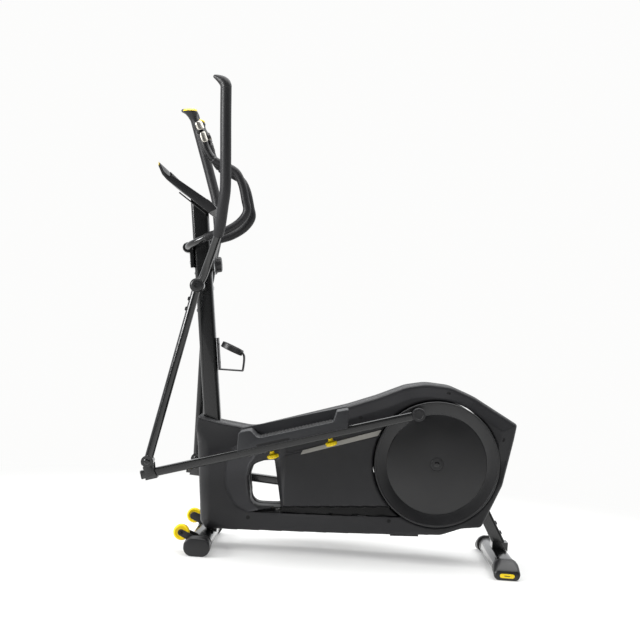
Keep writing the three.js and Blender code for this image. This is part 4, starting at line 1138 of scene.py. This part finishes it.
pair(turned("fork_pin_shaft_left", [(0, -0.0215), (0.0098, -0.0215), (0.0098, 0.0215), (0, 0.0215)],
            (0, -ARM_Y, 0), (0, 1, 0), zinc), "{side}_rod", "zinc_steel", **ROD_MOVES)

# %% [markdown]
# ## Pedals
# A foot tray moulded in filled nylon: a raised toe wall with a hollow inner corner, a flat floor
# with a cast tread, a heel post, and a taller wall on the machine's side. Two yellow hand
# screws hold it to the rod.

# %% Trays
PEDAL_AT = 0.299
ROD_TOP = 0.0154
tray_outline = rounded([(0, 0, .003), (0.384, 0, .003), (0.402, 0.062, .008), (0.360, 0.063, .008),
                        (0.341, 0.032, .010), (0.080, 0.032, .024), (0.060, 0.064, .012),
                        (0.019, 0.064, .010)], 10) + [PEDAL_AT, ROD_TOP]
wall_outline = rounded([(0, 0, .003), (0.384, 0, .003), (0.402, 0.066, .008), (0.019, 0.070, .012)],
                       10) + [PEDAL_AT, ROD_TOP]
PEDAL = ("{side}_pedal", "pedal_plastic")
pair(prism("pedal_tray_left", tray_outline, -0.285, -0.157, pedal_nylon, 0.0035), *PEDAL, "pedal_{side}",
     **TUBE_MOVES)
pair(prism("pedal_wall_left", wall_outline, -0.158, -0.148, pedal_nylon, 0.0025), *PEDAL, "pedal_{side}",
     **TUBE_MOVES)
# The slot along the tray's outer side is not cut: a thin dark rubber strip laid on it is painted shade for the slot's
# hollow.
slot_shade_outline = oval((PEDAL_AT + 0.1275, ROD_TOP + 0.008), 0.115, 0.0075, 0.003)
pair(prism("pedal_slot_left", slot_shade_outline, -0.2852, -0.280, soft_rubber, 0.0004), *PEDAL, **TUBE_MOVES)


def tread(name, low, high, pitch, floor_level, material):
    """A cast tread: rows of short rounded bars, every other row moved by half a bar. The height
    is the product of two rounded waves, kept inside a margin round the pad."""
    row_step, bar_step, bar_height, pad_height = 0.012, 0.030, 0.0018, 0.0008
    xs = np.arange(low[0], high[0], pitch)
    ys = np.arange(low[1], high[1], pitch)
    x, y = np.meshgrid(xs, ys, indexing="ij")
    row = np.floor((x - low[0]) / row_step)
    across = (x - low[0]) / row_step - row
    along = ((y - low[1]) / bar_step + 0.5 * (row % 2)) % 1
    bars = ramp(np.minimum(across, 1 - across), 0.14, 0.34) * ramp(np.minimum(along, 1 - along), 0.08, 0.16)
    margin = np.minimum.reduce([x - low[0], xs[-1] - x, y - low[1], ys[-1] - y])
    pad_edge, bars_edge = ramp(margin, 0.0, 0.002), ramp(margin, 0.002, 0.005)
    level = floor_level + bar_height * bars * bars_edge + pad_height * pad_edge
    index = np.arange(x.size).reshape(x.shape)
    quads = np.stack([index[:-1, :-1], index[1:, :-1], index[1:, 1:], index[:-1, 1:]], -1).reshape(-1, 4)
    return build(name, np.stack([x, y, level], -1).reshape(-1, 3), quads.tolist(), material, 70)


pad = tread("pedal_tread_left", (PEDAL_AT + 0.084, -0.281), (PEDAL_AT + 0.338, -0.159), 0.0016,
            ROD_TOP + 0.0318, soft_rubber)
pair(pad, *PEDAL, **TUBE_MOVES)
for number, where in enumerate((0.109, 0.316)):
    grip_profile = [(0, -0.0260), (0.013, -0.0258), (0.0180, -0.0240), (0.0200, -0.0215), (0.0205, -0.0160),
                    (0.0190, -0.0125), (0.0150, -0.0100), (0.0092, -0.0085), (0.0082, -0.0060), (0.0082, 0),
                    (0, 0)]
    knob = turned(f"pedal_screw_{number}_left", grip_profile, (PEDAL_AT + where, -ARM_Y, ROD_TOP - 0.0312),
                  (0, 0, 1), yellow_nylon, 60, lobes=lambda angle,
                  down: 1 - 0.07 * (down < -0.009) * np.maximum(0, np.cos(6 * angle)))
    name = ("front", "rear")[number]
    pair(knob, f"{{side}}_pedal_{name}_knob", "yellow_plastic", f"pedal_knob_{name}_{{side}}", **TUBE_MOVES)

# %% [markdown]
# ## Handlebar, heads and console
# The fixed handlebar is one tube bent through about twenty points, left and right halves alike,
# with foam where the hands rest and steel pulse plates below the heads. The console is a thin
# wedge whose outline is drawn in side view.

# %% The fixed handlebar
BAR_Y = 0.130
bar_half = [(-0.560, 0, 1.057), (-0.557, 0.045, 1.0585), (-0.541, 0.092, 1.0665), (-0.508, 0.120, 1.081),
            (-0.467, BAR_Y, 1.101), (-0.418, BAR_Y, 1.120), (-0.3705, BAR_Y, 1.1555), (-0.350, BAR_Y, 1.193),
            (-0.358, BAR_Y, 1.232), (-0.375, BAR_Y, 1.290), (-0.397, BAR_Y, 1.326), (-0.435, BAR_Y, 1.346),
            (-0.477, BAR_Y, 1.364), (-0.506, BAR_Y, 1.400), (-0.525, BAR_Y, 1.449), (-0.540, BAR_Y, 1.477)]
BAR_COUNT = 440
bar = curve_through(mirrored(bar_half[:0:-1]).tolist() + bar_half, BAR_COUNT)
place(sweep("handlebar_tube", bar[6:-6], circle(0.0115), powder_coat, up=(0.3, 0.2, 1)), "root",
      "gloss_black_steel", "fixed_handlebar")


def soft_sleeve(name, line, radius, material, ease=0.003, count=36, up=(0.3, 0.2, 1)):
    """A sleeve on a bent tube with eased ends."""
    return sweep(name, line, circle(radius, count), material, up=up, scale=end_ease(line, ease, 0.7))


grip_from, grip_to = (round(BAR_COUNT * step / 44) for step in (4, 17))
pair(soft_sleeve("bar_grip_left", resample(bar[grip_from:grip_to], 220), 0.0142, foam_rubber), "root",
     "grip_foam", "handlebar_grip_{side}")

# %% [markdown]
# The pulse plates are stamped steel ovals bent round the upright. Each is a thin sheet worked out
# over the tube: an arc across, a superellipse for its width along.

# %% Pulse plates
upright = resample(bar[10:grip_from], 60)
pair(soft_sleeve("bar_cuff_left", upright, 0.0136, satin_abs), "root", "casing_plastic")


def oval_plate(name, ends, radius, spread, thick, facing, material):
    """A curved sheet round part of a rod: at each step along it the section is an arc with a
    raised outer side, and the arc's width follows a superellipse so the corners are round."""
    first, last = (np.array(end) for end in ends)
    along = (last - first) / np.linalg.norm(last - first)
    out = np.array(facing) - along * (along @ np.array(facing))
    out /= np.linalg.norm(out)
    side = np.cross(along, out)
    travel = -np.cos(np.linspace(0.02, 0.98, 30) * math.pi)
    width = spread * (1 - np.abs(travel)**3.2)**(1 / 3.2)
    share = np.concatenate([np.linspace(-1, 1, 21), np.linspace(1, -1, 21)[1:-1]])
    lift = np.concatenate([thick * (1 - np.abs(share[:21])**8), np.full(19, -0.0012)])
    lift = lift[None] * (1 - np.abs(travel[:, None])**12)
    angle, level = width[:, None] * share, radius + lift
    middle = (first + last) / 2 + np.outer(travel, (last - first) / 2)
    rows = (middle[:, None] + (level * np.cos(angle))[..., None] * out
            + (level * np.sin(angle))[..., None] * side)
    return skin(name, rows, material, 50)


plate_spots = (((-0.5455, -BAR_Y, 1.4905), (-0.5315, -BAR_Y, 1.4625), 0.0166),
               ((-0.5280, -BAR_Y, 1.4560), (-0.5145, -BAR_Y, 1.4215), 0.0138))
for number, (start, stop, radius) in enumerate(plate_spots):
    plate = oval_plate(f"pulse_plate_{number}_left", (start, stop), radius, 1.05, 0.0014, (0.5, -0.86, 0.1),
                       stainless)
    pair(plate, "root", "sensor_steel", "pulse_sensor_{side}")
band = np.linspace((-0.5330, -BAR_Y, 1.4640), (-0.5275, -BAR_Y, 1.4540), 8)
pair(soft_sleeve("pulse_band_left", band, 0.0158, gloss_abs, 0.002), "root", "casing_plastic")

# %% [markdown]
# A head flares from the tube to a round top that holds a yellow thumb button. Its rings start
# square to the tube and end square to the button, so the neck bends without a crease.

# %% Heads with their buttons
HEAD_LOW, HEAD_TOP = np.array([-0.5375, -BAR_Y, 1.473]), np.array([-0.572, -BAR_Y, 1.527])
BUTTON_AXIS = np.array([-0.07, -0.25, 0.9657])


def tilted_rings(name, centres, axes, radii, material, count=56, sharp=40):
    """Rings whose planes turn from one axis to another, joined up: a neck that leans while its
    top stays level."""
    axes = np.asarray(axes, float)
    axes /= np.linalg.norm(axes, axis=1)[:, None]
    fore = np.cross((0, 1, 0), axes)
    angle = np.linspace(0, 2 * math.pi, count, endpoint=False)
    rings = (np.cos(angle)[None, :, None] * fore[:, None] + np.sin(angle)[None, :,
                                                                          None] * np.array([0, 1.0, 0]))
    return skin(name, np.asarray(centres)[:, None] + rings * np.asarray(radii)[:, None, None], material,
                sharp)


neck_way = (HEAD_TOP - HEAD_LOW) / np.linalg.norm(HEAD_TOP - HEAD_LOW)
travel = np.array([0, 0.03, 0.12, 0.30, 0.45, 0.58, 0.70, 0.82, 0.91, 0.96, 1.0, 1.0])
level = ramp(travel, 0.25, 0.9)[:, None]
radii = np.array([0.0150, 0.0162, 0.0164, 0.0152, 0.0150, 0.0158, 0.0176, 0.0214, 0.0248, 0.0260, 0.0258,
                  0.0246])
head_centres = HEAD_LOW + (HEAD_TOP - HEAD_LOW) * travel[:, None]
head = tilted_rings("bar_head_left", head_centres, neck_way * (1 - level) + BUTTON_AXIS * level, radii,
                    satin_abs)
pair(head, "root", "casing_plastic", "handlebar_head_{side}")
button_profile = [(0, -0.008), (0.006, -0.008), (0.006, 0.0006), (0.0225, 0.0006), (0.0237, 0.0014),
                  (0.0242, 0.0032), (0.0237, 0.0052), (0.0218, 0.0074), (0.0180, 0.0090), (0.0125, 0.0100),
                  (0.006, 0.0104), (0, 0.0105)]
button = turned("thumb_cap_left", button_profile, HEAD_TOP, BUTTON_AXIS, yellow_nylon, 64)
pair(button, "{side}_thumb_button", "yellow_plastic", "thumb_button_{side}")
lever_spot = HEAD_LOW + neck_way * 0.004 + np.array([0.0125, 0, 0.0060])
lever = turned("head_switch_left", [(0, -0.008), (0.0085, -0.008), (0.0090, 0.0005), (0.0075, 0.0036),
                                    (0, 0.0046)],
               lever_spot, (0.87, 0, 0.5), gloss_abs, 32)
pair(lever, "root", "casing_plastic")
print("heads: button axis", BUTTON_AXIS.tolist())

# %% [markdown]
# A steel plate and a sleeve hold the bar's lowest bend to the front of the mast.

# %% Clamp that holds the bar to the mast
clamp_low, clamp_high = on_mast(0.992, -0.037), on_mast(1.082, -0.037)
clamp = sweep("bar_clamp", np.linspace(clamp_low, clamp_high, 3), rounded_box(0.062, 0.013, 0.004),
              powder_coat, sharp=50)
place(clamp, "root", "gloss_black_steel", "handlebar_clamp")
saddle_line = bar[BAR_COUNT // 2 - 12:BAR_COUNT // 2 + 12]
place(soft_sleeve("bar_saddle", saddle_line, 0.0185, powder_coat, 0.002), "root", "gloss_black_steel")

# %% [markdown]
# The console is one thin moulded wedge. Its face carries a gloss frame, a tinted cover, four keys
# and a ledge along the top that stops a book or a tablet from sliding off.

# %% Console
console_outline = rounded([
    (-0.480, 1.177, .006), (-0.4525, 1.192, .006), (-0.469, 1.211, .005), (-0.612, 1.2955, .006),
    (-0.631, 1.2975, .005), (-0.647, 1.311, .006), (-0.660, 1.334, .006), (-0.667, 1.343, .001),
    (-0.667, 1.328, .006), (-0.652, 1.299, .008), (-0.634, 1.281, .010), (-0.588, 1.251, .020)], 8)
place(prism("console_body", console_outline, -0.150, 0.150, satin_abs, 0.0009), "root", "casing_plastic",
      "console")
face_low, face_high = np.array([-0.469, 0, 1.211]), np.array([-0.612, 0, 1.2955])
face_way = (face_high - face_low) / np.linalg.norm(face_high - face_low)
face_out = np.array([face_way[2], 0, -face_way[0]])


def on_console(travel, out, y=0.0):
    """A point up the console's sloping face from its lower edge, raised off it."""
    return face_low + face_way * travel + face_out * out + [0, y, 0]


def face_plate(name, start, stop, width, thick, material, out=0.0, middle=0.0, radius=0.008):
    """A thin plate lying on the console's face, with rounded corners and a softened edge."""
    outline = rounded_box(width, stop - start, radius, 8)
    rows = []
    for inset, level in ((0, -0.002), (0, thick - 0.0006), (0.0006, thick)):
        size = (outline - outline.mean(0)) * (1 - 2 * inset / width)
        rows.append([on_console((start + stop) / 2 + v, level + out, middle + u) for u, v in size])
    return skin(name, np.array(rows), material, 40)


place(face_plate("console_display_frame", 0.010, 0.158, 0.216, 0.0012, gloss_abs), "root", "casing_plastic")
place(face_plate("console_display", 0.016, 0.152, 0.204, 0.0005, display_cover, 0.0012), "root",
      "screen_glass", "console_screen")
lcd = face_plate("console_lcd", 0.052, 0.136, 0.120, 0.0003, decal_film, 0.0016, 0.0, 0.004)
place(lcd, "root", "screen_glass")
for number in range(4):
    key = face_plate(f"console_key_{number}", 0.022, 0.036, 0.026, 0.0022, satin_abs, 0.0012,
                     (number - 1.5) * 0.042, 0.006)
    place(key, "root", "casing_plastic")
ledge = prism("console_ledge", rounded([(-0.612, 1.2940, .002), (-0.6285, 1.2965, .003),
                                        (-0.6285, 1.3130, .0015), (-0.6262, 1.3130, .0015),
                                        (-0.6235, 1.3030, .004)], 6), -0.118, 0.118, satin_abs,
              0.001)
place(ledge, "root", "casing_plastic")
spot = prism("console_edge_light", rounded([(-0.6662, 1.3300, .0005), (-0.6640, 1.3305, .0005),
                                            (-0.6650, 1.3400, .0005), (-0.6664, 1.3405, .0005)], 5),
             -0.1508, -0.1490, yellow_nylon, 0.0003)
far_spot = mirror_piece(spot, "console_edge_light_far")
for piece in (spot, far_spot):
    place(piece, "root", "yellow_plastic")
bracket_line = np.linspace((-0.6025, 0, 1.251), (-0.503, 0, 1.1825), 3)
place(sweep("console_stay", bracket_line, rounded_box(0.080, 0.005, 0.002), powder_coat, sharp=50), "root",
      "gloss_black_steel", "console_bracket")
print("console: face", round(float(np.linalg.norm(face_high - face_low)), 3), "m long")

# %% [markdown]
# The knob is a dial with ten shallow finger grooves, turned from one profile with lobes in its
# grip, and a bright ring let into its skirt.

# %% Resistance knob
knob_face = on_mast(0.998, 0.0304)
place(turned("knob_seat", [(0, 0), (0.0240, 0), (0.0240, 0.0050), (0.0230, 0.0060), (0, 0.0060)], knob_face,
             MAST_REAR, satin_abs, 64), "root", "casing_plastic", "knob_base")
dial_profile = [(0, 0.0065), (0.0325, 0.0065), (0.0345, 0.0080), (0.0350, 0.0105), (0.0350, 0.0145),
                (0.0335, 0.0165), (0.0295, 0.0178), (0.0285, 0.0200), (0.0272, 0.0320), (0.0262, 0.0345),
                (0.0240, 0.0360), (0, 0.0360)]
dial = turned("resistance_dial_grip", dial_profile, knob_face, MAST_REAR, satin_abs, 120,
              lobes=lambda angle, out: 1 - 0.05 * (out > 0.019) * (out < 0.0355) * (np.cos(10 * angle) > 0.2))
place(dial, "resistance_dial", "knob_plastic", "resistance_knob")
dial_ring = turned("resistance_dial_ring", [(0.0346, 0.0108), (0.0350, 0.0106), (0.0353, 0.0122),
                                            (0.0350, 0.0138), (0.0346, 0.0136), (0.0346, 0.0108)],
                   knob_face, MAST_REAR, zinc, 80)
place(dial_ring, "resistance_dial", "knob_plastic")
print("dial:", len(dial.data.polygons), "faces")

# %% [markdown]
# ## Bottle holder
# A moulded bracket on the back of the mast: a back plate, a ring that slopes down away from the
# mast, a post below its far side, and a thin floor.

# %% Bottle holder
back_line = np.linspace(on_mast(0.628, 0.0362), on_mast(0.738, 0.0362), 12)
place(sweep("holder_back", back_line, rounded_box(0.058, 0.005, 0.002), satin_abs, sharp=50), "root",
      "casing_plastic", "bottle_holder")
ring_middle = np.array([-0.3775, 0, 0.7075])
ring_lean = math.radians(22)
ring_axis = np.array([math.sin(ring_lean), 0, math.cos(ring_lean)])
band_profile = [(0.0365, -0.0100), (0.0400, -0.0100), (0.0412, -0.0088), (0.0412, 0.0088), (0.0400, 0.0100),
                (0.0378, 0.0100), (0.0365, 0.0088), (0.0365, -0.0100)]
place(turned("holder_ring", band_profile, ring_middle, ring_axis, satin_abs, 96), "root", "casing_plastic",
      "bottle_holder")
post_line = curve_through([(-0.3400, 0, 0.694), (-0.3345, 0, 0.686), (-0.3325, 0, 0.672), (-0.3330, 0, 0.650),
                           (-0.3345, 0, 0.6325)], 24)
place(sweep("holder_post", post_line, rounded_box(0.030, 0.0065, 0.003), satin_abs, sharp=50), "root",
      "casing_plastic", "bottle_holder")
floor_line = np.linspace((-0.4195, 0, 0.6305), (-0.3330, 0, 0.6305), 8)
place(sweep("holder_floor", floor_line, rounded_box(0.060, 0.0045, 0.002), satin_abs, sharp=50), "root",
      "casing_plastic", "bottle_holder")
for number, z in enumerate((0.650, 0.715)):
    place(bolt(f"holder_screw_{number}", on_mast(z, 0.0387), MAST_REAR, 0.0045, 0.0022, black_oxide),
          "root", "zinc_steel")

# %% [markdown]
# ## Finishes of the carried-over solids
# What shows through the openings and underneath keeps its solid shape, and only gets a finish.

# %% Finishes for the solids that are shown as they are
for name, finish in {"main_frame": powder_coat, "belly_plate": satin_abs, "flywheel": cast_iron,
                     "flywheel_axle": zinc, "crank_bearing_left": zinc, "crank_bearing_right": zinc,
                     "crank_shaft": zinc, "magnet_brake": zinc, "drive_pulley": satin_abs,
                     "drive_belt": soft_rubber}.items():
    slots = frame["nodes"][name].material_slots
    for material_slot in slots:
        material_slot.material = finish
    if not slots:
        frame["nodes"][name].data.materials.append(finish)
stood_for = set(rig.table()["cad_nodes_stood_for"])
print("solids shown as they are:", sorted(set(frame["nodes"]) - stood_for))

# %% [markdown]
# ## Finish
# The box of the shown pieces is written beside the solids' own box, so the two can be compared.

# %% Write the two boxes and finish
json.dump({"cad": cad_box, "visual": [list(corner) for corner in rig.bounds()]}, open("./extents.json", "w"))
